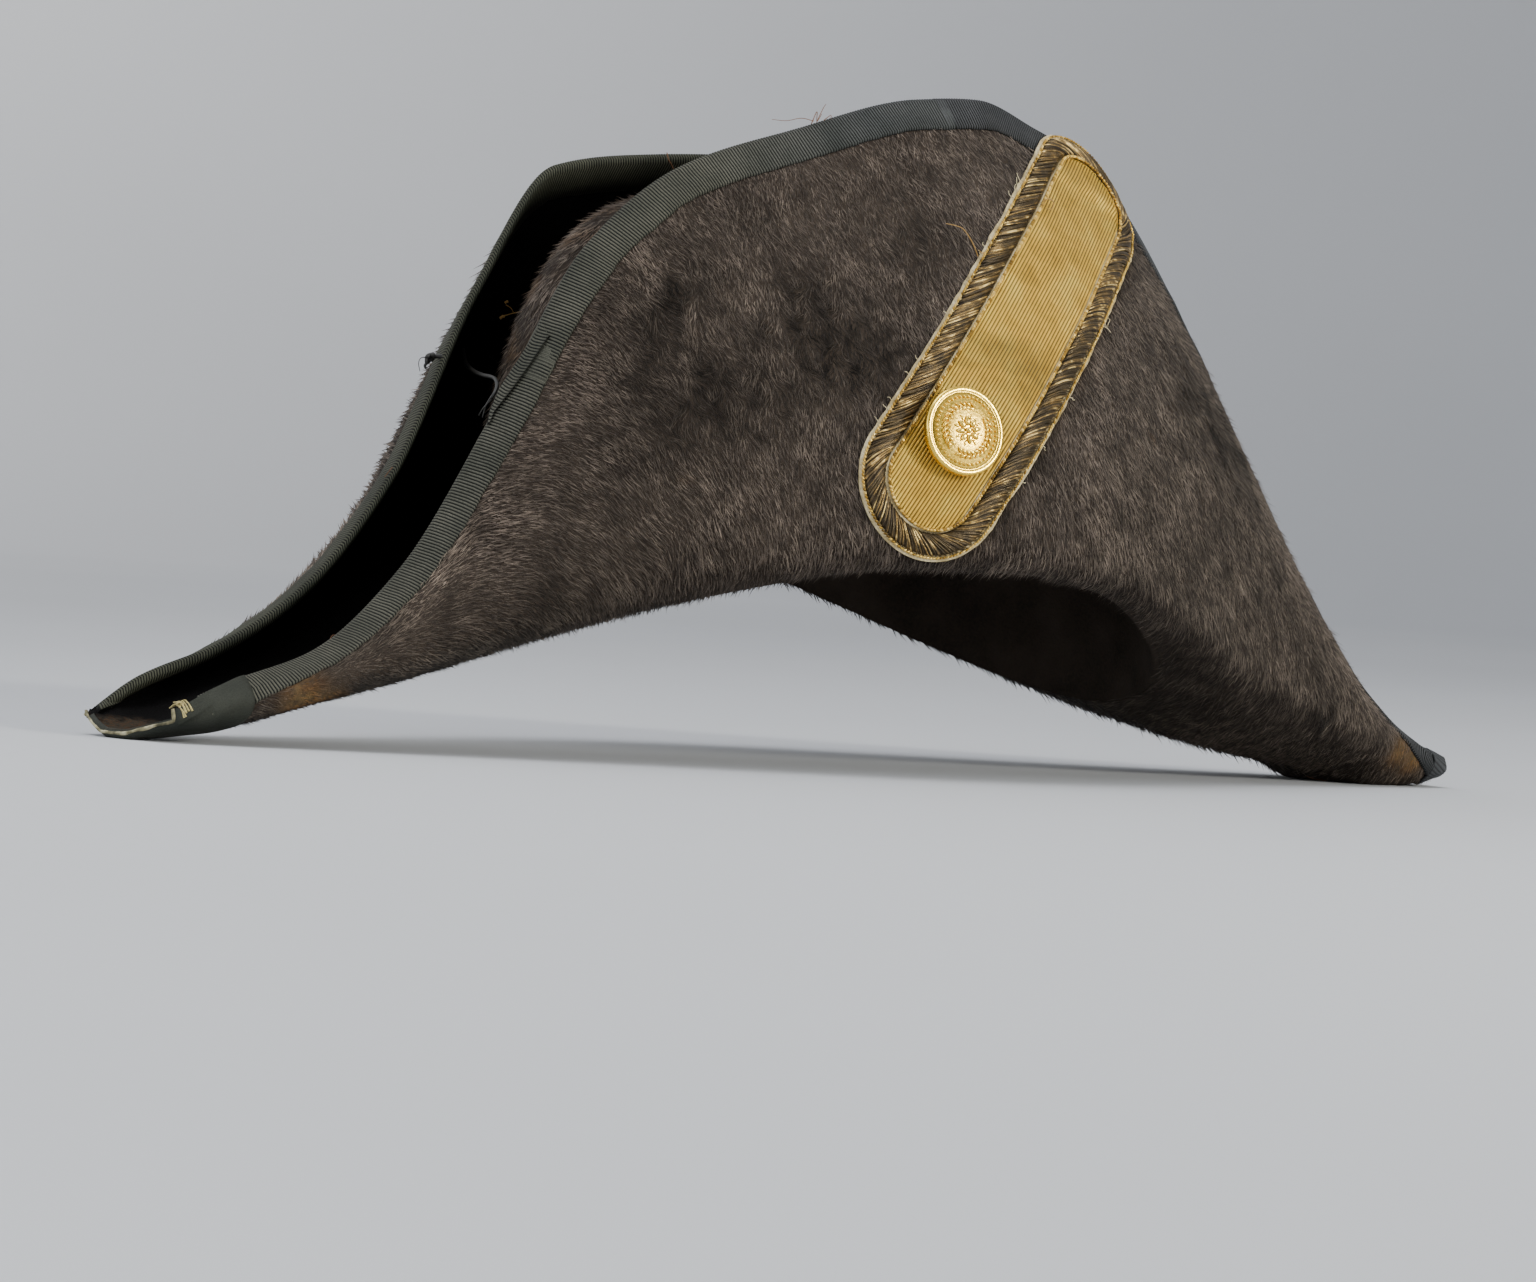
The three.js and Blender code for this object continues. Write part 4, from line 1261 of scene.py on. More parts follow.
def side_painted_light_and_shade(side, y, arc, share, below, dark):
    """Painted light and shade on the nap: palest under the front ribbon, darker to the rear, below and at
    the tips.
    """
    # Painted shadow in the dark tufts, and painted shade towards the front tip.
    shade = 0.92 * (1.0 - 0.88 * dark) * (1 - 0.15 * smoothstep(-y, 140, 165))
    # Painted light on the front of the side, just under the ribbon.
    painted_light_zone = smoothstep(-y, 50, 105) * np.exp(-np.maximum(arc - 12, 0) / 22.0)
    painted_light_zone = painted_light_zone * (0.8 + 0.35 * ripple(y, arc, 18.0, 13))
    shade = shade * (1 + 0.6 * np.clip(painted_light_zone, 0, 1.2))
    # Painted shade to the rear, at the front tip and low on the front.
    rear = smoothstep(y, 5, 65) * (1 - 0.5 * smoothstep(y, 100, 150) * smoothstep(arc, 45, 65))
    rear = rear * (1 - 0.45 * smoothstep(y, 128, 152)) * (1 - 0.25 * smoothstep(arc, 66, 80))
    shade = shade * (1 - 0.44 * rear) * (1 - 0.6 * smoothstep(-y, 152, 176))
    shade = shade * (1 - 0.45 * smoothstep(-y, 135, 150) * smoothstep(arc, 12, 20))
    shade = shade * (1 - 0.25 * smoothstep(-y, 112, 130) * smoothstep(arc, 30, 42))
    # Painted shade low down, underneath and over the whole right side.
    lower = smoothstep(-y, 70, 140) * smoothstep(share, 0.28, 0.6) * (1 - 0.6 * near_keel(share))
    return shade * (1 - 0.6 * lower) * (1.0 if side is LEFT else 0.6) * (1 - 0.4 * below)


def near_keel(share):
    """From 0 to 1 towards the keel, by the share of the section's length."""
    return smoothstep(share, 0.66, 0.95)


def outer_surface(side, y_from, y_to):
    """The outer face below the ribbon, its outward directions and the values the nap follows."""
    ys = np.linspace(y_from, y_to, int((y_to - y_from) / NAP_ROW_STEP) + 1)
    v = np.linspace(0, 1, NAP_COLUMNS)
    y = ys[:, None] + 0 * v[None, :]
    length = side.section_length(y)
    edge = bound_arc(side, ys)[:, None] - NAP_UNDER_RIBBON
    arc = edge + (length - edge) * v[None, :]
    share = arc / length
    points = side.point(y, arc)
    dark = dark_share(y, arc) if side is LEFT else np.zeros_like(y)
    worn = worn_share(points)
    below = smoothstep(at("foldZ", y) - points[..., 2], -2.0, 10.0) * (1 - 0.6 * smoothstep(y, 95, 140))
    long = 1.0 + 0.2 * ripple(y, arc, 12.0, 14) + 0.2 * dark
    long = long - 0.3 * smoothstep(-y, 120, 165) - 0.5 * worn
    values = {
        "comb": side_comb(points, y, arc, dark),
        "thick": side_cover(side, points, share, below, dark, worn),
        "long": np.maximum(long, 0.25),
        "shade": side_painted_light_and_shade(side, y, arc, share, below, dark),
        "worn": worn,
    }
    outward = points * np.array([1.0, 0.0, 1.0]) - np.array([0.0, 0.0, SIDE_MIDDLE])
    return points, outward, values


def crown_surface():
    """The dome's outer face above the brim, its outward directions and the nap's values."""
    points = crown_skin(0.0)[6:]
    points = np.concatenate([points, points[:, :1]], axis=1)
    points = np.swapaxes(points, 0, 1)[:, ::-1]
    y, z = points[..., 1], points[..., 2]
    angle = np.radians(18 * ripple(y, z, 20.0, 31))
    values = {
        "comb": combed(points, angle),
        "thick": smoothstep(z, 70, 90) * (0.35 + 0.65 * smoothstep(-y, 10, 40)),
        "long": 1.0 + 0 * angle,
        # Painted shade over the dome, which stands between the sides, lighter in blobs.
        "shade": 0.42 + 0.5 * np.clip(ripple(y, z, 9.0, 33), 0, 1),
        "worn": 0.25 * np.clip(ripple(y, z, 8.0, 32), 0, 1),
    }
    return points, points - np.array([0.0, 0.0, CROWN_MIDDLE]), values


# ------------------------------------------------------------------ the strap's pieces
def plate_rows(half, spacing, cap_rows):
    """(along, half width) of the rows of a plate with round ends."""
    angles = np.linspace(0, np.pi / 2, cap_rows + 1)[1:]
    cap = np.stack([-half * np.cos(angles), half * np.sin(angles)], axis=1)
    count = int(STRAP_LENGTH / spacing)
    middle = np.linspace(0, STRAP_LENGTH, count + 1)[1:-1]
    straight = np.stack([middle, np.full(len(middle), half)], axis=1)
    upper = np.stack([STRAP_LENGTH - cap[::-1, 0], cap[::-1, 1]], axis=1)
    return np.concatenate([cap, straight, upper])


LACE_EDGE = LACE_HALF + 0.5


def make_backing_cloth():
    rows = plate_rows(STRAP_HALF, 1.0, 24)
    shares = np.linspace(-1, 1, 15)
    along = rows[:, :1] + 0 * shares
    ragged = 0.12 * ripple(rows[:, :1], shares * 8, 12.0, 41)
    ragged = ragged + 0.08 * ripple(rows[:, :1], shares, 2.3, 42)
    across = (rows[:, 1:] + ragged * (np.abs(shares) == 1)) * shares
    waves = 0.25 * (1 + ripple(along, across, 9.0, 43)) * (np.abs(shares) > 0.9)
    top = on_strap(along, across, BACKING + 0.3 * waves)
    bottom = on_strap(along, across, 0.3 * waves)
    return sheet_object("strap_cloth", top, bottom, BACKING_LOOK)


LACE_RIBS = 26
RIB_SAMPLES = 4
LACE_RIB_HEIGHT = 0.26


def make_lace_panel():
    """Lace with ribs along the strap."""
    rows = plate_rows(LACE_EDGE, 2.2, 14)
    place = np.linspace(-1, 1, LACE_RIBS * RIB_SAMPLES + 1) * LACE_EDGE
    across = np.clip(place[None, :], -rows[:, 1:], rows[:, 1:])
    along = rows[:, :1] + 0 * across
    phase = place * LACE_RIBS / (2 * LACE_EDGE)
    rib = np.abs(np.sin(np.pi * phase)) ** 0.8 + 0 * across
    top = on_strap(along, across, LAYER + LACE_THICK - LACE_RIB_HEIGHT + LACE_RIB_HEIGHT * rib)
    bottom = on_strap(along, across, LAYER + 0 * across)
    values = {"rib": two_layers(rib, 0 * rib), "along": two_layers(along, along)}
    return sheet_object("gold_lace_panel", top, bottom, LACE_LOOK, values)


STRAND_SPACING = 0.68
STRAND_RADIUS = 0.22
STRAND_SLANT = 1.75
CAP_SLANT = 1.0


def border_profile(share):
    """Height of the padded border over the layer below, from its inner to its outer edge."""
    return 0.3 + 1.0 * np.sin(np.pi * np.clip(share, 0, 1)) ** 0.5


STRAND_TAPER = np.array([0.75, 0.95, 1, 1, 1, 1, 1, 0.95, 0.75])


def make_border_strands():
    """Bent strands side by side round the strap, each leaning over the border."""
    total = outline_length(BORDER_MIDDLE)
    count = int(total / STRAND_SPACING)
    rng = np.random.default_rng(51)
    steps = np.linspace(0.0, 1.05, len(STRAND_TAPER))
    distance = BORDER_INNER + BORDER_WIDTH * steps
    rings, tones = [], []
    for i in range(count):
        start = i * total / count + rng.normal(0, 0.12)
        lean = slant_at(start) * BORDER_WIDTH * (1 + rng.normal(0, 0.06))
        curl = rng.normal(0.7, 0.25)
        s = start + lean * (steps - 0.5) + curl * np.sin(np.pi * np.clip(steps, 0, 1))
        along, across = outline_point(s, distance, BORDER_MIDDLE)
        lift = border_profile(steps) + rng.normal(0, 0.06) + 0.1 * rng.random()
        path = on_strap(along, across, LAYER - 0.15 + lift)
        rings.append(tube(path, STRAND_RADIUS * rng.uniform(0.85, 1.2) * STRAND_TAPER, 5))
        tones.append(rng.beta(1.3, 2.2))
    return many_tubes("bullion_strands", rings, tones, BULLION_LOOK)


def slant_at(s):
    """How far a strand leans at a place round the outline; less round the lower end."""
    turn = np.pi * BORDER_MIDDLE
    from_lower = s % outline_length(BORDER_MIDDLE) - (1.5 * turn + STRAP_LENGTH)
    round_end = np.exp(-((from_lower / (0.42 * turn)) ** 2))
    return STRAND_SLANT * (1 - round_end) + CAP_SLANT * round_end


def many_tubes(name, rings, tones, material):
    """One object from many closed tubes with the same numbers of rings and corners."""
    points, faces, values = [], [], []
    first = 0
    for ring, tone in zip(rings, tones):
        body, triangles = ring_sweep(ring)
        if signed_volume(body, triangles) < 0:
            triangles = triangles[:, ::-1]
        points.append(body)
        faces.append(triangles + first)
        values.append(np.full(len(body), tone))
        first += len(body)
    values = {"tone": np.concatenate(values)}
    return new_object(name, np.concatenate(points), np.concatenate(faces), material, values=values)


def make_border_pad():
    """The padding under the strands, which shows between them."""
    s = outline_places(BORDER_MIDDLE, 1.4)
    loops = []
    for share in (0.0, 0.08, 0.3, 0.5, 0.7, 0.92, 1.0):
        along, across = outline_point(s, BORDER_INNER + BORDER_WIDTH * share, BORDER_MIDDLE)
        height = 0.0 if share in (0.0, 1.0) else border_profile(share) - 0.38
        loops.append(on_strap(along, across, LAYER + height))
    rings = np.stack(loops, axis=1)
    return swept_object("border_pad", rings, BULLION_LOOK, closed=True, values={"tone": 0.1})


# ------------------------------------------------------------------ twisted cords
TURN_SPACING = 0.95


def turn_shape():
    """One turn of a twisted cord: a spindle along X, to be placed aslant."""
    angles = 2 * np.pi * np.arange(6) / 6
    t = np.linspace(-1, 1, 5)[:, None]
    radius = np.sqrt(np.maximum(1 - (t * 0.96) ** 2, 0.02))
    rings = np.stack([t + 0 * angles, radius * np.cos(angles), radius * np.sin(angles)], axis=-1)
    return keep_hidden(swept_object("turn", rings / MM, None))


def cord_tree(turn, material):
    """Slanting turns placed along a line of points with `along` and `up` directions."""
    tree = ShapeTree("twisted cord")
    length = tree.number("Turn length", 0.0009)
    width = tree.number("Turn width", 0.0003)
    slant = tree.number("Slant", 0.6)
    tree.number("Seed", 1)
    up = tree.named("up", "FLOAT_VECTOR")
    along = tree.named("along", "FLOAT_VECTOR")
    aside = tree.vector("CROSS_PRODUCT", up, along)
    aside = tree.vector("SCALE", aside, tree.maths("MULTIPLY", slant, tree.random(0.85, 1.15, 2)))
    way = tree.turned(up, tree.vector("ADD", along, aside), "X")
    broad = tree.maths("MULTIPLY", width, tree.random(0.88, 1.12, 3))
    tree.strew(tree.start.outputs["Geometry"], turn, way, (length, broad, broad), material)
    return tree


def make_twisted_cord(name, tree, distance, stand, seed):
    """Gold cord all round the strap, standing at a height over the layer below."""
    along, across = outline_point(outline_places(distance, TURN_SPACING), distance, distance)
    points = on_strap(along, across, LAYER + stand)
    up = on_strap(along, across, LAYER + stand + 1.0) - points
    ahead = np.roll(points, -1, axis=0) - np.roll(points, 1, axis=0)
    line = new_mesh(name, points, [], {"along": unit(ahead), "up": unit(up)})
    tree.values["Seed"] = seed
    made = tree.run(name, in_scene(name + " line", line))
    drop_values(made, "along", "up")
    made.data.shade_smooth()
    return made


# ------------------------------------------------------------------ button
BUTTON_RADIUS = 11.5
BUTTON_ALONG = 14.6
BUTTON_ACROSS = 1.8
BUTTON_DROOP = 0.17
BUTTON_TURN = 0.07
BUTTON_STAND = 2.2
BUTTON_EDGE = 2.2
BUTTON_DOME = 1.8
BUTTON_BEADS = 44
WREATH_LEAVES = 13
ROSETTE_LEAVES = 8


def button_place():
    """The button's seat, and directions up from the lace, towards the rim and to the front."""
    height = BACKING + 2 * GAP + LACE_THICK
    seat = on_strap(BUTTON_ALONG, BUTTON_ACROSS, height)
    up = unit(seat - on_strap(BUTTON_ALONG, BUTTON_ACROSS, 0.0))
    up = unit(up + np.array([0.0, BUTTON_TURN, -BUTTON_DROOP]))
    before, after = on_strap(np.array([BUTTON_ALONG - 2, BUTTON_ALONG + 2]), BUTTON_ACROSS, height)
    ahead = after - before
    ahead = unit(ahead - up * (ahead @ up))
    return seat, up, ahead, np.cross(up, ahead)


def on_button(radius, angle, height):
    """Points by radius and angle round the button's axis, and height over its seat."""
    seat, up, ahead, aside = button_place()
    radius, angle, height = np.broadcast_arrays(radius, angle, height)
    return (
        seat
        + ahead * (radius * np.cos(angle))[..., None]
        + aside * (radius * np.sin(angle))[..., None]
        + up * height[..., None]
    )


def face_height(radius):
    """Height of the button's domed face over its seat."""
    return BUTTON_STAND + BUTTON_EDGE - 0.35 + BUTTON_DOME * (1 - (radius / BUTTON_RADIUS) ** 2)


def button_profile():
    """(radius, height) down the face, round the rim, under it and up inside to the shank."""
    top = BUTTON_STAND + BUTTON_EDGE
    face = [(r, face_height(r)) for r in np.linspace(0.2, 9.75, 22)]
    rim = [(9.95, top + 0.02), (10.15, top + 0.18), (10.6, top + 0.26), (11.1, top + 0.18)]
    rim += [(11.4, top - 0.1), (11.5, top - 0.5), (11.5, top - 1.2), (11.42, BUTTON_STAND + 0.7)]
    rim += [(11.15, BUTTON_STAND + 0.25), (10.7, BUTTON_STAND), (10.2, BUTTON_STAND + 0.05)]
    back = [(9.9, BUTTON_STAND + 0.4), (9.7, top - 1.1), (6.0, top + 0.1), (2.0, top + 0.4)]
    shank = [(2.0, BUTTON_STAND), (1.9, 0.4), (1.7, 0.05), (0.2, 0.0)]
    return np.array(face + rim + back + shank)


def make_button_body():
    """The button's shell and shank, turned round its axis."""
    around = 96
    profile = button_profile()
    angles = 2 * np.pi * np.arange(around) / around
    rings = on_button(profile[:, :1], angles[None, :], profile[:, 1:])
    radius, face = profile[:, 0], profile[:, 1] > BUTTON_STAND + 1
    # Painted shade: full in the groove inside the rim, and a little over the whole face, so the raised
    # figures stay brighter.
    hollow = np.exp(-(((radius - 9.7) / 0.25) ** 2)) + 0.3 * (radius < 9.6)
    hollow = np.clip(hollow, 0, 1) * face
    values = {"hollow": np.repeat(hollow, around)}
    return swept_object("button_shell", rings, GILT_LOOK, values=values)


def relief_point(x, y, height):
    """A point of the relief: x and y over the face in millimetres, and height over it."""
    radius = np.hypot(x, y)
    return on_button(radius, np.arctan2(y, x), face_height(radius) + height)


def relief_body(outline_x, outline_y, rise):
    """A low raised figure from a closed outline: foot, shoulder and a middle point."""
    cx, cy = outline_x.mean(), outline_y.mean()
    rings = []
    for share, height in ((1.0, -0.12), (1.0, 0.45 * rise), (0.78, 0.85 * rise), (0.35, rise)):
        rings.append(relief_point(cx + (outline_x - cx) * share, cy + (outline_y - cy) * share, height))
    return np.stack(rings)


def leaf_outline(length, width):
    """x and y round a leaf that is narrower towards its tip."""
    t = 2 * np.pi * np.arange(12) / 12
    x = 0.5 * length * np.cos(t)
    return x, 0.5 * width * np.sin(t) * (1 - 0.35 * np.cos(t))


def placed_outline(shape, x, y, turn):
    """An outline turned, and moved to x and y."""
    ox, oy = shape
    return x + ox * np.cos(turn) - oy * np.sin(turn), y + ox * np.sin(turn) + oy * np.cos(turn)


def make_button_relief():
    """A ring of beads, a wreath of two rows of leaves and a rosette."""
    bodies = []

    def leaf(length, width, radius, angle, turn, rise):
        """One leaf at a radius and an angle on the face."""
        place = radius * np.cos(angle), radius * np.sin(angle)
        bodies.append(relief_body(*placed_outline(leaf_outline(length, width), *place, turn), rise))

    for k in range(BUTTON_BEADS):
        leaf(0.78, 0.78, 8.75, 2 * np.pi * k / BUTTON_BEADS, 0.0, 0.6)
    for side in (1, -1):
        for k in range(WREATH_LEAVES):
            angle = side * (0.24 + k * (np.pi - 0.45) / WREATH_LEAVES) + np.pi
            for radius, lean in ((6.9, 0.55), (5.75, -0.55)):
                leaf(1.9, 0.8, radius, angle, angle - side * (np.pi / 2 - lean), 0.6)
    for k in range(ROSETTE_LEAVES):
        angle = 2 * np.pi * k / ROSETTE_LEAVES
        between = angle + np.pi / ROSETTE_LEAVES
        leaf(2.5, 1.5, 2.35, angle, angle, 0.7)
        leaf(1.6, 0.6, 3.5, between, between, 0.32)
    leaf(1.7, 1.7, 0.0, 0.0, 0.0, 0.85)
    return many_tubes("button_relief", bodies, [0.0] * len(bodies), GILT_LOOK)


# ------------------------------------------------------------------ grosgrain ribbon
RIB_PITCH = 0.86
RIB_HEIGHT = 0.24
RIBBON_BASE = 0.28
# How dark the painted shade along a ribbon's edges is.
EDGE_PAINTED_SHADE = 0.35
TUCK_LIFT = 1.15
TUCK_THICK = 0.4
TUCK_LEAN = 0.4
TURN_IN = 0.25  # where the ribbon starts to turn over the rim, outside and inside
FILL_IN = 0.2  # where the ribbon's inner face ends, under that turn


def rim_track(side, y_from, y_to):
    """y, arc length, and the cosine between the rim and the section, along a rim."""
    ys = np.arange(y_from, y_to + 0.1, 0.25)
    rim = side.at_share(ys, 0.0)
    reach = np.concatenate([[0], np.cumsum(np.linalg.norm(np.diff(rim, axis=0), axis=1))])
    tangents = unit(np.gradient(rim, axis=0))
    along = side.look_up(side.along, ys, np.zeros_like(ys))
    down = np.stack([side.sign * along[:, 0], 0 * ys, along[:, 1]], axis=1)
    return ys, reach, np.clip((tangents * down).sum(axis=1), -0.94, 0.94)


def rib_wave(count, samples):
    """Heights from 0 in a groove to 1 on a crest, for stations along a ribbon."""
    return np.abs(np.sin(np.pi * np.arange(count) / samples)) ** 0.75


def rib_stations(side, y_from, y_to, samples):
    """Stations along a rim, their heights in the ribs, and a way down from them.

    The way down gives y and the share of the section at distances square to the rim, and
    `stretch` is how much longer the same way is along the section.
    """
    ys, reach, cosines = rim_track(side, y_from, y_to)
    count = int(reach[-1] / RIB_PITCH) * samples
    stations = np.linspace(0, reach[-1], count + 1)
    cosine = np.interp(stations, reach, cosines)
    stretch = 1 / np.sqrt(1 - cosine**2)

    def way_down(distance):
        y = np.interp(stations - distance * cosine * stretch, reach, ys)
        return y, distance * stretch / side.section_length(y)

    return stations, rib_wave(count + 1, samples), stretch, way_down


# Round a folded ribbon: distance from the rim as a share of its width (or in millimetres for
# TURN_IN and FILL_IN), height over the felt, how far the ribs stand out, how far past the rim,
# and how much painted shade darkens it along its edges.
RIBBON_RING = [
    (1.0, 0.02, 0.0, 0.0, 1.0),
    (1.0, RIBBON_BASE - 0.08, 0.35, 0.0, 1.0),
    (0.94, RIBBON_BASE + 0.06, 0.9, 0.0, 0.35),
    (0.6, RIBBON_BASE + 0.05, 1.0, 0.0, 0.0),
    (0.28, RIBBON_BASE + 0.04, 1.0, 0.0, 0.0),
    (TURN_IN, RIBBON_BASE, 1.0, 0.0, 0.0),
    (0.0, -0.45, 1.0, 0.75, 0.0),
    (0.0, -FELT + 0.45, 1.0, 0.75, 0.0),
    (TURN_IN, -FELT - RIBBON_BASE, -1.0, 0.0, 0.0),
    (0.5, -FELT - RIBBON_BASE - 0.04, -1.0, 0.0, 0.0),
    (1.0, -FELT - RIBBON_BASE, -0.6, 0.0, 0.0),
    (1.0, -FELT - 0.02, 0.0, 0.0, 1.0),
    (FILL_IN, -FELT + 0.1, 0.0, 0.1, 1.0),
    (FILL_IN, -0.1, 0.0, 0.1, 1.0),
]


def ribbon_object(name, loops, ribs, edge_shades, look):
    """A ribbon from lines of points along it, with each line's height in a rib and its painted edge shade.
    """
    rib = np.stack(ribs, axis=1).ravel()
    soil_and_edge_shade = np.repeat(np.array(edge_shades)[None, :], len(loops[0]), axis=0).ravel() * EDGE_PAINTED_SHADE
    return swept_object(name, np.stack(loops, axis=1), look, values={"rib": rib, "edge": soil_and_edge_shade})


def make_rim_ribbon(name, side, y_from, y_to, samples, seed, lift, look):
    """Ribbon folded over a rim, with ribs square to the rim."""
    stations, rib, stretch, way_down = rib_stations(side, y_from, y_to, samples)
    still = 0 * stations
    y_here, _ = way_down(still)
    wander = 0.22 * ripple(stations, still, 26.0, seed) + 0.08 * ripple(stations, still, 4.0, seed + 1)
    width = np.minimum(BINDING_WIDTH + wander, MOST_BOUND * side.section_length(y_here) / stretch)
    slack = 0.12 * (1 + ripple(stations, still, 14.0, seed + 2))
    loops, ribs, edge_shades = [], [], []
    for share, height, stand_out, past, soil_and_edge_shade in RIBBON_RING:
        distance = share + still if share in (TURN_IN, FILL_IN) else width * share
        back, share_down = way_down(distance)
        stand = height + stand_out * (RIB_HEIGHT * rib + lift)
        if 0.3 < share < 0.95 and stand_out > 0:
            stand = stand + slack
        past_rim = past + (0.5 * RIB_HEIGHT * rib if past > 0.3 else still)
        loops.append(side.at_share(back, share_down, stand, past=past_rim))
        ribs.append(rib if stand_out else still)
        edge_shades.append(soil_and_edge_shade)
    return ribbon_object(name, loops, ribs, edge_shades, look)


# The tuck in the left ribbon: y of its lower and upper end on the rim, and along it from 0 to 1
# its two borders as distances down from the rim.
TUCK_FROM = -126.5
TUCK_TO = -112.6
TUCK_PLACES = (0.0, 0.1, 0.3, 0.6, 1.0)
TUCK_TOP = (-0.6, -2.2, -3.1, -1.9, -0.3)
TUCK_LOW = (-0.2, -0.7, 0.6, 2.2, 3.7)


def make_ribbon_tuck():
    """The tail of one length of ribbon over the next, standing a little past the rim."""
    stations, rib, _, way_down = rib_stations(LEFT, TUCK_FROM, TUCK_TO, 4)
    top = np.interp(stations / stations[-1], TUCK_PLACES, TUCK_TOP)
    low = np.interp(stations / stations[-1], TUCK_PLACES, TUCK_LOW)
    shares = np.linspace(0, 1, 8)
    grids = []
    for thickness in (0.0, TUCK_THICK):
        columns = []
        for share in shares:
            distance = top + (low - top) * share
            past = np.maximum(-distance, 0)
            y_here, share_down = way_down(np.maximum(distance, 0))
            stand = TUCK_LIFT + 0.5 * share**3 - thickness + RIB_HEIGHT * rib * (thickness == 0)
            columns.append(LEFT.at_share(y_here, share_down, stand - TUCK_LEAN * past, past=past))
        grids.append(np.stack(columns, axis=1))
    ribs = rib[:, None] + 0 * shares
    # Painted shadow along the tuck's free edge, where it stands off the ribbon below.
    soil_and_edge_shade = (shares > 0.95) + 0 * ribs
    values = {"rib": two_layers(ribs, 0 * ribs), "edge": two_layers(soil_and_edge_shade, soil_and_edge_shade)}
    return sheet_object("ribbon_tuck", *grids, RIBBON_LOOK, values)


def across_tip(y, s, height, beyond):
    """Points across a whole section at y: s runs from the left rim (0) over the keel (1) to 2."""
    left = LEFT.at_share(y, np.clip(s, 0, 1), height, beyond=beyond)
    right = RIGHT.at_share(y, np.clip(2 - s, 0, 1), height, beyond=beyond)
    return np.where((np.asarray(s) <= 1)[..., None], left, right)


TIP_COVER = 1.75  # how far round the section the front ribbon goes, of 2
OVER_RIM_RIBBON = 0.4
TIP_CLEAR = 0.03  # height of the tip ribbon's lowest threads over the ground


def make_tip_ribbon(name, end, leg, inner_leg, rib_height, seed):
    """Ribbon folded over a tip's edge; `end` is -1 at the front and 1 at the rear."""
    at_front = end < 0
    samples = 4
    edge_y = REAR_END * end
    around = 2 * LEFT.section_length(np.array([edge_y]))[0]
    count = int(around / RIB_PITCH) * samples
    s = np.linspace(0.0, TIP_COVER if at_front else 2.0, count + 1)
    rib = rib_wave(count + 1, samples)
    thick = FELT - TIP_THIN
    top = RIBBON_BASE + 0.25
    under = 0.15 if at_front else top
    over = OVER_RIM_RIBBON * smoothstep((1.4 if at_front else 0.7) - s, 0, 0.5)
    wander = 0.5 * ripple(s * 20, 0 * s, 12.0, seed)
    # Distance from the edge, height over the felt, how far the ribs stand out, how far beyond
    # the edge, and how much painted shade darkens it along its edges.
    ring = [
        (leg, 0.02, 0.0, 0.0, 1.0),
        (leg, top - 0.1, 0.4, 0.0, 1.0),
        (leg * 0.92, top, 0.8, 0.0, 0.4),
        (leg * 0.5, top, 1.0, 0.0, 0.0),
        (0.3, top, 1.0, 0.0, 0.0),
        (0.0, -0.3, 1.0, 0.7, 0.0),
        (0.0, -thick + 0.3, 1.0, 0.7, 0.0),
        (0.3, -thick - under, -1.0, 0.0, 0.0),
        (inner_leg * 0.5, -thick - under, -1.0, 0.0, 0.0),
        (inner_leg, -thick - under, -0.6, 0.0, 0.0),
        (inner_leg, -thick - 0.02, 0.0, 0.0, 1.0),
        (FILL_IN, -thick + 0.1, 0.0, 0.1, 1.0),
        (FILL_IN, -0.1, 0.0, 0.1, 1.0),
    ]
    worn_rib = 0.85 + 0 * rib if at_front else 0.55 + 0.45 * rib
    loops, ribs, edge_shades = [], [], []
    for distance, height, stand_out, beyond, soil_and_edge_shade in ring:
        far = distance + (wander if distance == leg else 0 * s)
        stand = height + stand_out * rib_height * rib + (over if stand_out > 0.2 else 0)
        line = across_tip(edge_y - end * far, s, stand, beyond + 0 * s)
        line[:, 2] = np.maximum(line[:, 2], TIP_CLEAR)
        loops.append(line)
        ribs.append(worn_rib if stand_out else 0 * rib)
        edge_shades.append(soil_and_edge_shade)
    look = PLAIN_RIBBON_LOOK if at_front else BLUE_RIBBON_LOOK
    return ribbon_object(name, loops, ribs, edge_shades, look)


# ------------------------------------------------------------------ worn front edge and loose threads
def through(points, count):
    """A smooth line through a few points."""
    points = np.asarray(points, float)
    knots = np.concatenate([[2 * points[0] - points[1]], points, [2 * points[-1] - points[-2]]])
    line = []
    for i in range(1, len(knots) - 2):
        t = np.linspace(0, 1, count, endpoint=i == len(knots) - 3)[:, None]
        a, b, c, d = knots[i - 1 : i + 3]
        bend = (2 * a - 5 * b + 4 * c - d) * t**2 + (3 * b - a - 3 * c + d) * t**3
        line.append(0.5 * (2 * b + (c - a) * t + bend))
    return np.concatenate(line)


def make_strands(name, material, strands):
    """One object from several threads that thin towards their ends, each (radius, points)."""
    objects = []
    for k, (radius, points) in enumerate(strands):
        line = through(points, 7)
        rings = tube(line, radius * np.linspace(1.0, 0.6, len(line)), 5)
        objects.append(swept_object(f"{name} {k}", rings, material, values={"tone": 0.5}))
    return join(name, objects)


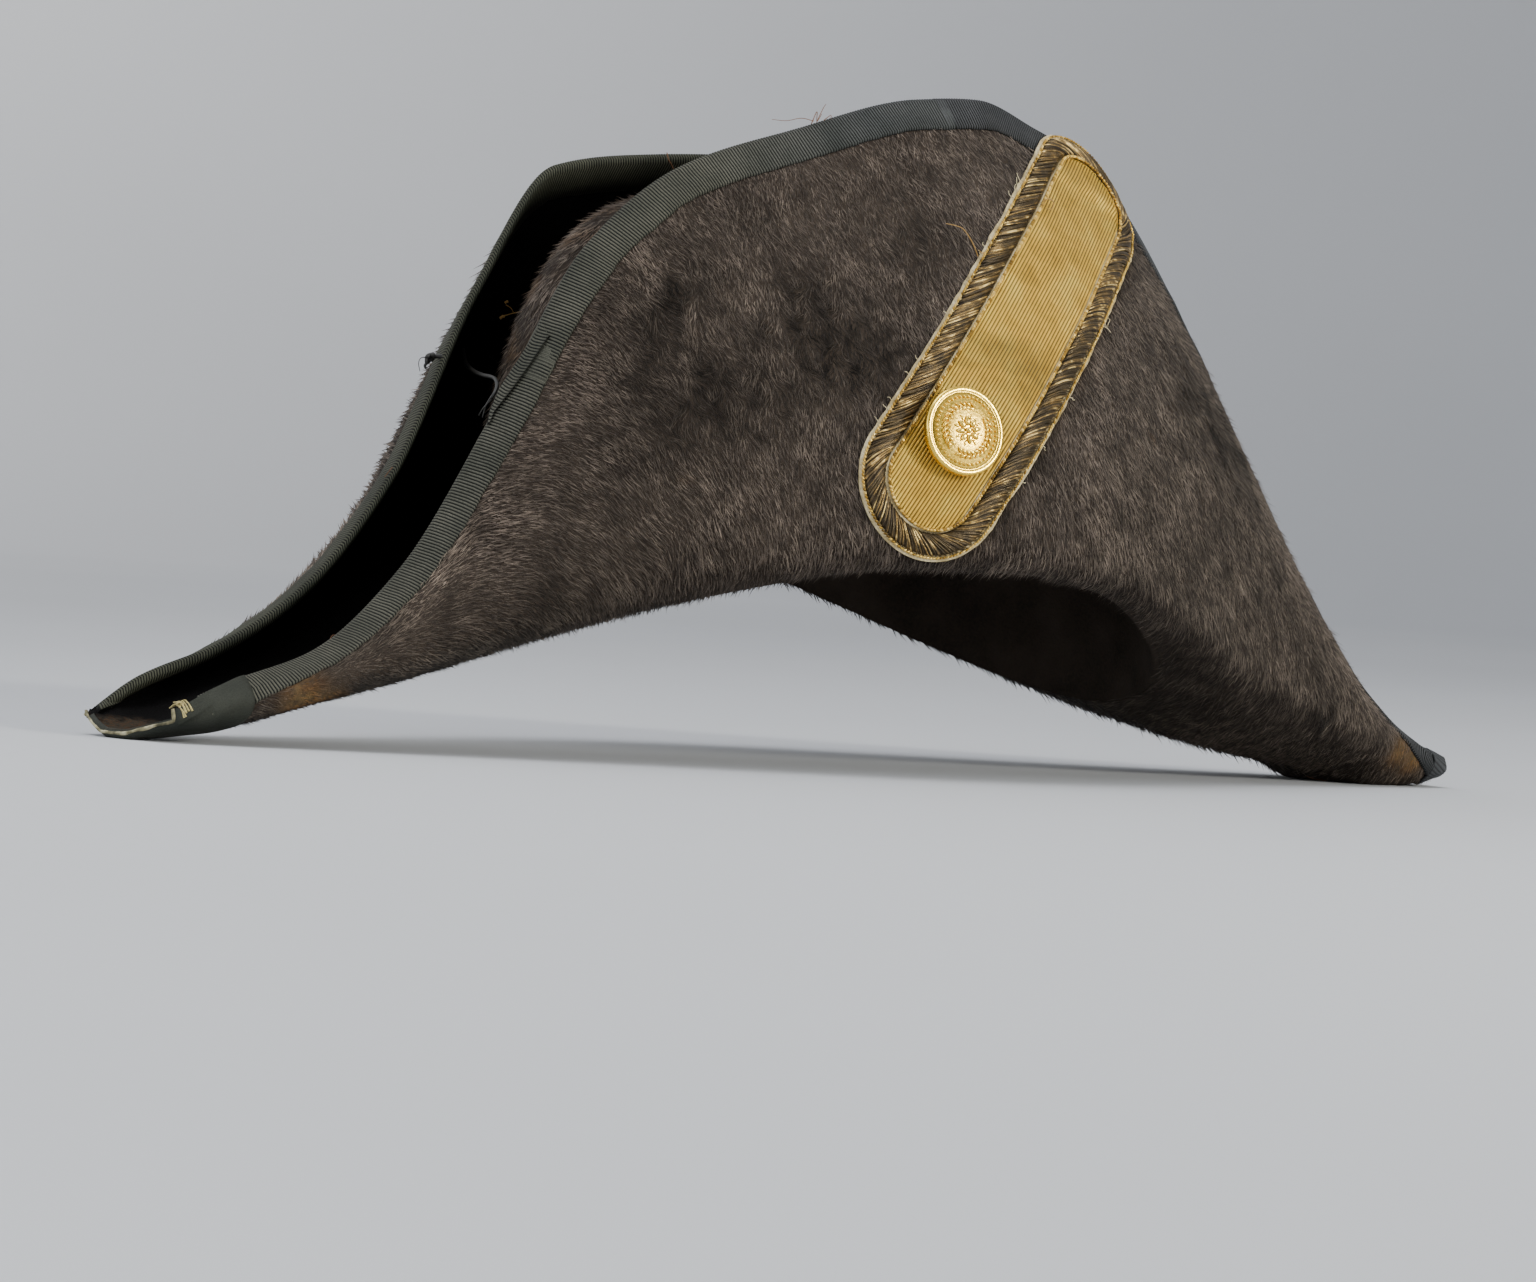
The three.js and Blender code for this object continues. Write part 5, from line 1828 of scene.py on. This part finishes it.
def make_bared_edge():
    """The front edge where the ribbon is worn away: an uneven pale lip from rim to rim."""
    s = np.linspace(0.0, 2.0, 120)
    flat = s * 20
    y = np.full(len(s), FRONT_END + 0.2)
    height = -0.5 + 0.1 * ripple(flat, 0 * flat, 6.0, 81)
    path = across_tip(y, s, height, 0.85 + 0.1 * ripple(flat, 0 * flat, 5.0, 82))
    radius = 0.42 + 0.08 * ripple(flat, 0 * flat, 4.0, 83)
    radius = radius + 0.12 * smoothstep(0.15 - s, 0, 0.1)
    path[:, 2] = np.maximum(path[:, 2], radius + 0.1)
    return swept_object("bared_front_edge", tube(path, radius, 8), LIP_LOOK)


def make_front_knot():
    """A frayed knot at the front corner on the left, whipped over the rim."""
    corner = np.array([19.2, -213.2, 9.9])
    rng = np.random.default_rng(84)
    strands = []
    for k in range(6):
        y = -213.9 + 0.42 * k + rng.normal(0, 0.2)
        rim = LEFT.at_share(np.array([y]), np.array([0.0]), 0.0, past=np.array([0.9]))[0]
        foot = np.array([y + rng.uniform(0.2, 2.0)]), np.array([rng.uniform(1.4, 3.4)]), np.array([0.8])
        low = LEFT.point(*foot)[0]
        over = [low, (low + rim) / 2 + [0.3, 0, 0.35], rim + [0, 0, 0.35], rim + [-1.8, -0.5, -0.8]]
        strands.append((0.28, np.array(over)))
    for k in range(5):
        turn = rng.normal(0, 0.6, (3, 3)) * np.array([0.8, 1.6, 0.6])
        strands.append((0.2, corner + turn))
    return make_strands("front_knot", KNOT_THREAD, strands)


def fray(along, across, length, turn, seed):
    """A curling end of backing thread beside the strap."""
    rng = np.random.default_rng(seed)
    start = on_strap(along, across, 0.3)
    outward = unit(on_strap(along, across * 1.05, 0.3) - start)
    ahead = unit(on_strap(along + 1, across, 0.3) - start)
    up = unit(on_strap(along, across, 1.3) - start)
    points = [start - outward * 0.6]
    for k in range(1, 4):
        step = length * k / 3
        points.append(
            start
            + outward * (step * math.cos(turn) + rng.normal(0, 0.08 * length))
            + ahead * (step * math.sin(turn) + rng.normal(0, 0.12 * length))
            + up * (0.3 + rng.normal(0, 0.25))
        )
    return np.array(points)


# Frayed ends round the strap: distance along, across (to the front is positive), length, turn.
FRAYS = [
    (26.0, 20.0, 1.0, 0.3), (21.0, 20.0, 1.2, -0.3), (12.0, 20.1, 1.6, -0.5), (8.5, 20.1, 1.3, 0.1),
    (4.0, 20.1, 1.5, 0.4), (43.0, 20.0, 0.9, 0.2), (67.0, 20.0, 1.3, 0.5), (70.0, 20.0, 1.6, 0.8),
    (95.0, 20.0, 3.2, 1.3), (98.0, 20.0, 4.0, 1.2), (92.0, 20.0, 2.4, 0.9), (101.0, 20.1, 2.0, 0.6),
    (88.0, -20.0, 3.4, -1.1), (86.0, -20.0, 4.2, -1.4), (84.0, -20.0, 2.4, 0.3), (50.0, -20.0, 1.5, 0.4),
    (31.0, -20.0, 1.2, -0.4), (18.0, -20.0, 1.0, 0.2),
]

# The tie between the sides, from the right wall to the tuck on the left rim.
TIE_PATH = [
    [-47.5, -85.0, 102.6], [-43.0, -87.7, 101.0], [-33.0, -94.3, 98.7], [-20.0, -101.5, 96.7],
    [-5.0, -109.4, 95.5], [8.0, -115.6, 94.7], [14.0, -119.0, 92.5], [16.5, -122.2, 89.5],
]

# Loose threads, each with its radius and its points.
CREAM_ENDS = [(0.13, fray(*end, 90 + k)) for k, end in enumerate(FRAYS)]
GOLD_END = on_strap(66.0, 20.2, 0.4)
GOLD_LOOP = on_strap(99.0, 12.5, LAYER + 0.8)
GOLD_ENDS = [
    (0.16, GOLD_END + [[0, 0, 0], [1.2, -3.2, 3.4], [1.4, -6.4, 6.4], [1.6, -9.0, 7.2], [1.2, -12.4, 7.6]]),
    (0.15, GOLD_END + [[0, 2, 1.2], [1.2, 0.2, 0.9], [1.4, -1.0, 1.6]]),
    (0.2, GOLD_LOOP + [[0, 0, 0], [1.4, 1.0, 1.2], [1.6, 2.8, 0.4], [1.2, 2.6, -1.4], [0.4, 1.0, -1.2]]),
]
BROWN_ENDS = [
    (0.16, [[-25.6, -38.5, 157.6], [-25.3, -38.0, 155.8], [-25.4, -37.0, 154.8], [-25.2, -36.2, 153.4]]),
    (0.14, [[28.9, -34.6, 165.4], [29.6, -33.6, 168.6], [28.6, -32.6, 166.2], [29.2, -31.6, 168.2]]),
    (0.13, [[29.0, -33.0, 166.0], [29.6, -31.6, 169.6], [29.4, -30.6, 170.8]]),
    (0.12, [[29.4, -31.0, 166.6], [30.4, -29.6, 168.0], [29.0, -28.4, 166.9]]),
    (0.11, [[29.0, -34.0, 166.2], [28.9, -38.0, 166.6], [28.4, -42.5, 165.6], [27.8, -46.8, 165.6]]),
    (0.15, [[-20.8, -124.6, 70.6], [-20.2, -125.8, 69.8], [-20.6, -127.0, 68.0]]),
    (0.12, [[19.2, -166.4, 27.4], [18.6, -168.2, 28.2], [19.0, -169.8, 26.6]]),
]
GOLD_INSIDE = [
    (0.2, [[-40.5, -78.2, 111.6], [-40.2, -76.7, 112.2], [-40.5, -74.1, 112.9], [-40.3, -71.2, 113.6]]),
    (0.16, [[-40.5, -76.9, 114.8], [-40.2, -75.6, 114.2], [-40.5, -74.4, 113.2]]),
    (0.45, [[-40.5, -78.6, 111.2], [-40.2, -77.9, 111.8], [-40.4, -77.3, 111.6]]),
    (0.36, [[-40.6, -77.2, 115.3], [-40.3, -76.7, 115.8], [-40.5, -76.3, 115.5]]),
]
BLACK_ENDS = [
    (0.8, [[-22.6, -108.6, 99.4], [-23.4, -110.4, 99.8], [-24.0, -112.0, 99.6]]),
    (1.0, [[-24.0, -111.2, 99.9], [-24.4, -112.8, 99.4], [-24.0, -113.4, 97.9]]),
    (0.8, [[-24.6, -111.4, 98.6], [-24.2, -112.4, 99.9], [-23.6, -113.4, 99.2]]),
    (0.5, [[-24.0, -112.6, 98.4], [-24.4, -113.6, 97.2], [-24.2, -113.3, 96.4]]),
    (0.14, [[-24.0, -113.4, 99.4], [-24.2, -115.2, 99.0], [-24.1, -115.9, 97.6], [-24.0, -115.4, 95.6]]),
    (0.75, TIE_PATH),
    (0.3, [[13.0, -118.0, 93.4], [14.5, -119.6, 91.4], [16.4, -122.4, 88.6]]),
    (0.3, [[16.0, -121.6, 90.6], [17.4, -124.6, 87.6], [17.8, -125.8, 84.4]]),
    (0.22, [[17.0, -122.8, 89.0], [17.6, -125.6, 86.8], [17.2, -126.6, 84.8]]),
]
HAIR_ENDS = [
    (0.12, [[-1.0, 181.0, 1.2], [0.6, 182.4, 0.8], [2.0, 183.0, 0.4], [3.4, 184.4, 0.3]]),
    (0.12, [[1.0, 179.0, 1.2], [3.0, 180.0, 0.6], [4.6, 181.8, 0.3], [6.6, 182.2, 0.3]]),
]
LOOSE_THREADS = [
    # name, look, slot, threads
    ("frayed_backing", CREAM_THREAD, "backing", CREAM_ENDS),
    ("loose_gold_thread", GOLD_THREAD, "gold_cord", GOLD_ENDS),
    ("brown_thread_ends", BROWN_THREAD, "ribbon", BROWN_ENDS),
    ("gold_thread_inside", GOLD_THREAD, "gold_cord", GOLD_INSIDE),
    ("black_thread_ends", BLACK_THREAD, "ribbon", BLACK_ENDS),
    ("hair_ends", BROWN_THREAD, "felt", HAIR_ENDS),
]


# ------------------------------------------------------------------ assembly
def put(obj, slot_name, *nodes):
    """Puts a piece on the hat and hides the CAD nodes that it replaces; the slot name is not used."""
    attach(obj, "root")
    if nodes:
        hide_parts(*nodes)
    return obj


put(make_brim(), "felt", "brim")
put(make_crown(), "felt", "crown")

NAP_TREE = nap_tree(hair_shape(), NAP_LOOK)
NAP_PIECES = [
    # name, surface, density per square mm, length, width, lift, spread, seed
    ("nap_left_front", outer_surface(LEFT, -196, -30), 3.2, 2.6, 0.23, 0.3, 0.28, 101),
    ("nap_left_rear", outer_surface(LEFT, -30, 212), 2.55, 2.7, 0.24, 0.3, 0.28, 102),
    ("nap_right", outer_surface(RIGHT, -196, 212), 0.92, 3.4, 0.42, 0.3, 0.25, 103),
    ("nap_crown", crown_surface(), 0.9, 2.8, 0.34, 0.35, 0.3, 106),
]
for name, surface, *sizes in NAP_PIECES:
    put(nap_on(name, NAP_TREE, surface, *sizes), "felt")

RIBBON_WIDTH = 2 * BINDING_WIDTH + FELT
FRONT_LEGS = 18.0, 0.6  # how far a tip's ribbon reaches in, outside and inside
REAR_LEGS = 7.5, 7.0


def ribbon_piece(name, side, y_from, y_to, samples, seed, lift=0.0, look=RIBBON_LOOK):
    """One length of rim ribbon, with the flat size that it was cut to."""
    made = put(make_rim_ribbon(name, side, y_from, y_to, samples, seed, lift, look), "ribbon")
    length = rim_track(side, y_from, y_to)[1][-1]
    return made, (RIBBON_WIDTH * MM, float(length) * MM)


front_left, front_left_size = ribbon_piece("rim_ribbon_left_front", LEFT, -208, -113, 4, 61)
middle_left, middle_left_size = ribbon_piece("rim_ribbon_left_middle", LEFT, -119, 8, 4, 65, 0.14)
rear_left, rear_left_size = ribbon_piece(
    "rim_ribbon_left_rear", LEFT, 5, 213.8, 3, 67, 0.3, BLUE_RIBBON_LOOK
)
right_ribbon, right_size = ribbon_piece(
    "rim_ribbon_right", RIGHT, -212.5, 213.3, 3, 62, look=OLIVE_RIBBON_LOOK
)
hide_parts("edge_binding")
tuck = put(make_ribbon_tuck(), "ribbon")
front_ribbon = put(
    make_tip_ribbon("front_tip_ribbon", -1, *FRONT_LEGS, 0.05, 63), "ribbon", "front_tip_binding"
)
rear_ribbon = put(make_tip_ribbon("rear_tip_ribbon", 1, *REAR_LEGS, 0.14, 64), "ribbon")

backing = put(make_backing_cloth(), "backing", "strap_backing")
lace = put(make_lace_panel(), "gold_lace", "lace_panel")
put(make_border_pad(), "bullion", "bullion_border")
put(make_border_strands(), "bullion")

CORD_TREE = cord_tree(turn_shape(), CORD_LOOK)
CORD_TREE.values.update({"Turn length": 0.00056, "Turn width": 0.00046, "Slant": 0.5})
inner_cord = make_twisted_cord("inner_gold_cord", CORD_TREE, INNER_CORD, 1.3, 71)
put(inner_cord, "gold_cord", "inner_cord")
CORD_TREE.values.update({"Turn length": 0.00054, "Turn width": 0.00034})
outer_cord = make_twisted_cord("outer_gold_cord", CORD_TREE, OUTER_CORD, 0.5, 72)
put(outer_cord, "gold_cord", "outer_cord")

put(make_button_body(), "gilt", "button")
put(make_button_relief(), "gilt")
put(make_bared_edge(), "backing")
put(make_front_knot(), "backing")
for name, look, slot_name, threads in LOOSE_THREADS:
    put(make_strands(name, look, threads), slot_name)


# ------------------------------------------------------------------ stage, light and camera
FLOOR_FLAT = 4200.0
FLOOR_CURVE = 1500.0


def make_stage():
    """A pale floor that curves up all round into a backdrop."""
    angles = 2 * np.pi * np.arange(96) / 96
    profile = [(0.01, 0.0), (1500.0, 0.0), (FLOOR_FLAT, 0.0)]
    for t in np.linspace(0.15, 1.45, 12):
        profile.append((FLOOR_FLAT + FLOOR_CURVE * math.sin(t), FLOOR_CURVE * (1 - math.cos(t))))
    radius, height = np.array(profile + [(5750.0, 5000.0)]).T[:, :, None]
    rings = np.stack([radius * np.cos(angles), radius * np.sin(angles), height + 0 * angles], axis=-1)
    faces = grid_faces(*rings.shape[:2], close_columns=True)
    mesh = new_mesh("floor", rings.reshape(-1, 3), faces, {})
    mesh.shade_smooth()
    look = Finish("pale floor", Roughness=0.85)
    look.colour(look.ramp(look.noise(0.8, 2.0), (0.3, "b9bbbf"), (0.7, "c0c2c6")))
    mesh.materials.append(look.material)
    in_scene("floor", mesh)


AZIMUTH = math.radians(51.0)
ELEVATION = math.radians(1.0)
ROLL = math.radians(3.547)
TARGET_ASIDE = -11.617  # the camera looks at a point this far to its right from the middle
TARGET_HEIGHT = 31.274
TARGET = Vector((TARGET_ASIDE * math.cos(AZIMUTH), TARGET_ASIDE * math.sin(AZIMUTH), TARGET_HEIGHT)) * MM
VIEW_DISTANCE = 2.0  # in metres
SENSOR = 36.0
LENS = 178.125  # a long lens, in millimetres over that sensor

BACK = Vector(
    (
        math.sin(AZIMUTH) * math.cos(ELEVATION),
        -math.cos(AZIMUTH) * math.cos(ELEVATION),
        math.sin(ELEVATION),
    )
)
LEVEL = Vector((math.cos(AZIMUTH), math.sin(AZIMUTH), 0.0))
UPRIGHT = BACK.cross(LEVEL)


def make_camera():
    right = LEVEL * math.cos(ROLL) + UPRIGHT * math.sin(ROLL)
    up = UPRIGHT * math.cos(ROLL) - LEVEL * math.sin(ROLL)
    data = bpy.data.cameras.new("camera")
    data.sensor_width = SENSOR
    data.lens = LENS
    data.clip_start = 0.05
    data.clip_end = 50.0
    data.dof.use_dof = False
    camera = in_scene("camera", data)
    place = Matrix.Identity(4)
    for row in range(3):
        place[row][0], place[row][1], place[row][2] = right[row], up[row], BACK[row]
        place[row][3] = TARGET[row] + VIEW_DISTANCE * BACK[row]
    camera.matrix_world = place
    bpy.context.scene.camera = camera


def light_place(back, right, up):
    """A place in metres: back from the hat to the camera, to its right, and up."""
    return BACK * back + LEVEL * right + Vector((0.0, 0.0, up))


def lamp(name, kind, place, aim, power, colour):
    """A lamp at a place that looks at another one; its own settings are on its data."""
    data = bpy.data.lights.new(name, kind)
    data.energy = power
    data.color = colour
    made = in_scene(name, data)
    made.location = place
    made.rotation_euler = (Vector(aim) - place).to_track_quat("-Z", "Y").to_euler()
    return data


LAMPS = [
    # name, place as back, right and up, size, power in watts, colour
    ("side", (0.85, 1.62, 0.56), 0.38, 34.0, (1.0, 0.98, 0.88)),
    ("front", (2.1, -0.35, 0.5), 0.6, 7.5, (1.0, 1.0, 1.0)),
    ("fill", (1.6, -1.4, 1.0), 1.4, 12.0, (0.95, 0.97, 1.0)),
    ("top", (0.3, -0.2, 1.7), 1.1, 16.0, (0.97, 0.98, 1.0)),
]
SUN_PLACE = (1.0, 1.45, 1.05)
SUN_STRENGTH = 4.6
SUN_WIDTH = math.radians(13.0)
SUN_COLOUR = (1.0, 0.975, 0.93)
SKY_COLOUR = (0.92, 0.94, 0.97, 1.0)
SKY_STRENGTH = 0.85


def make_lights():
    sun = lamp("key", "SUN", light_place(*SUN_PLACE), (0.0, 0.0, 0.0), SUN_STRENGTH, SUN_COLOUR)
    sun.angle = SUN_WIDTH
    for name, place, size, power, colour in LAMPS:
        data = lamp(name, "AREA", light_place(*place), (0.0, 0.0, 0.08), power, colour)
        data.shape = "DISK"
        data.size = size
    world = bpy.data.worlds.new("soft light")
    world.use_nodes = True
    sky = world.node_tree.nodes["Background"]
    sky.inputs["Color"].default_value = SKY_COLOUR
    sky.inputs["Strength"].default_value = SKY_STRENGTH
    bpy.context.scene.world = world


make_stage()
make_camera()
make_lights()
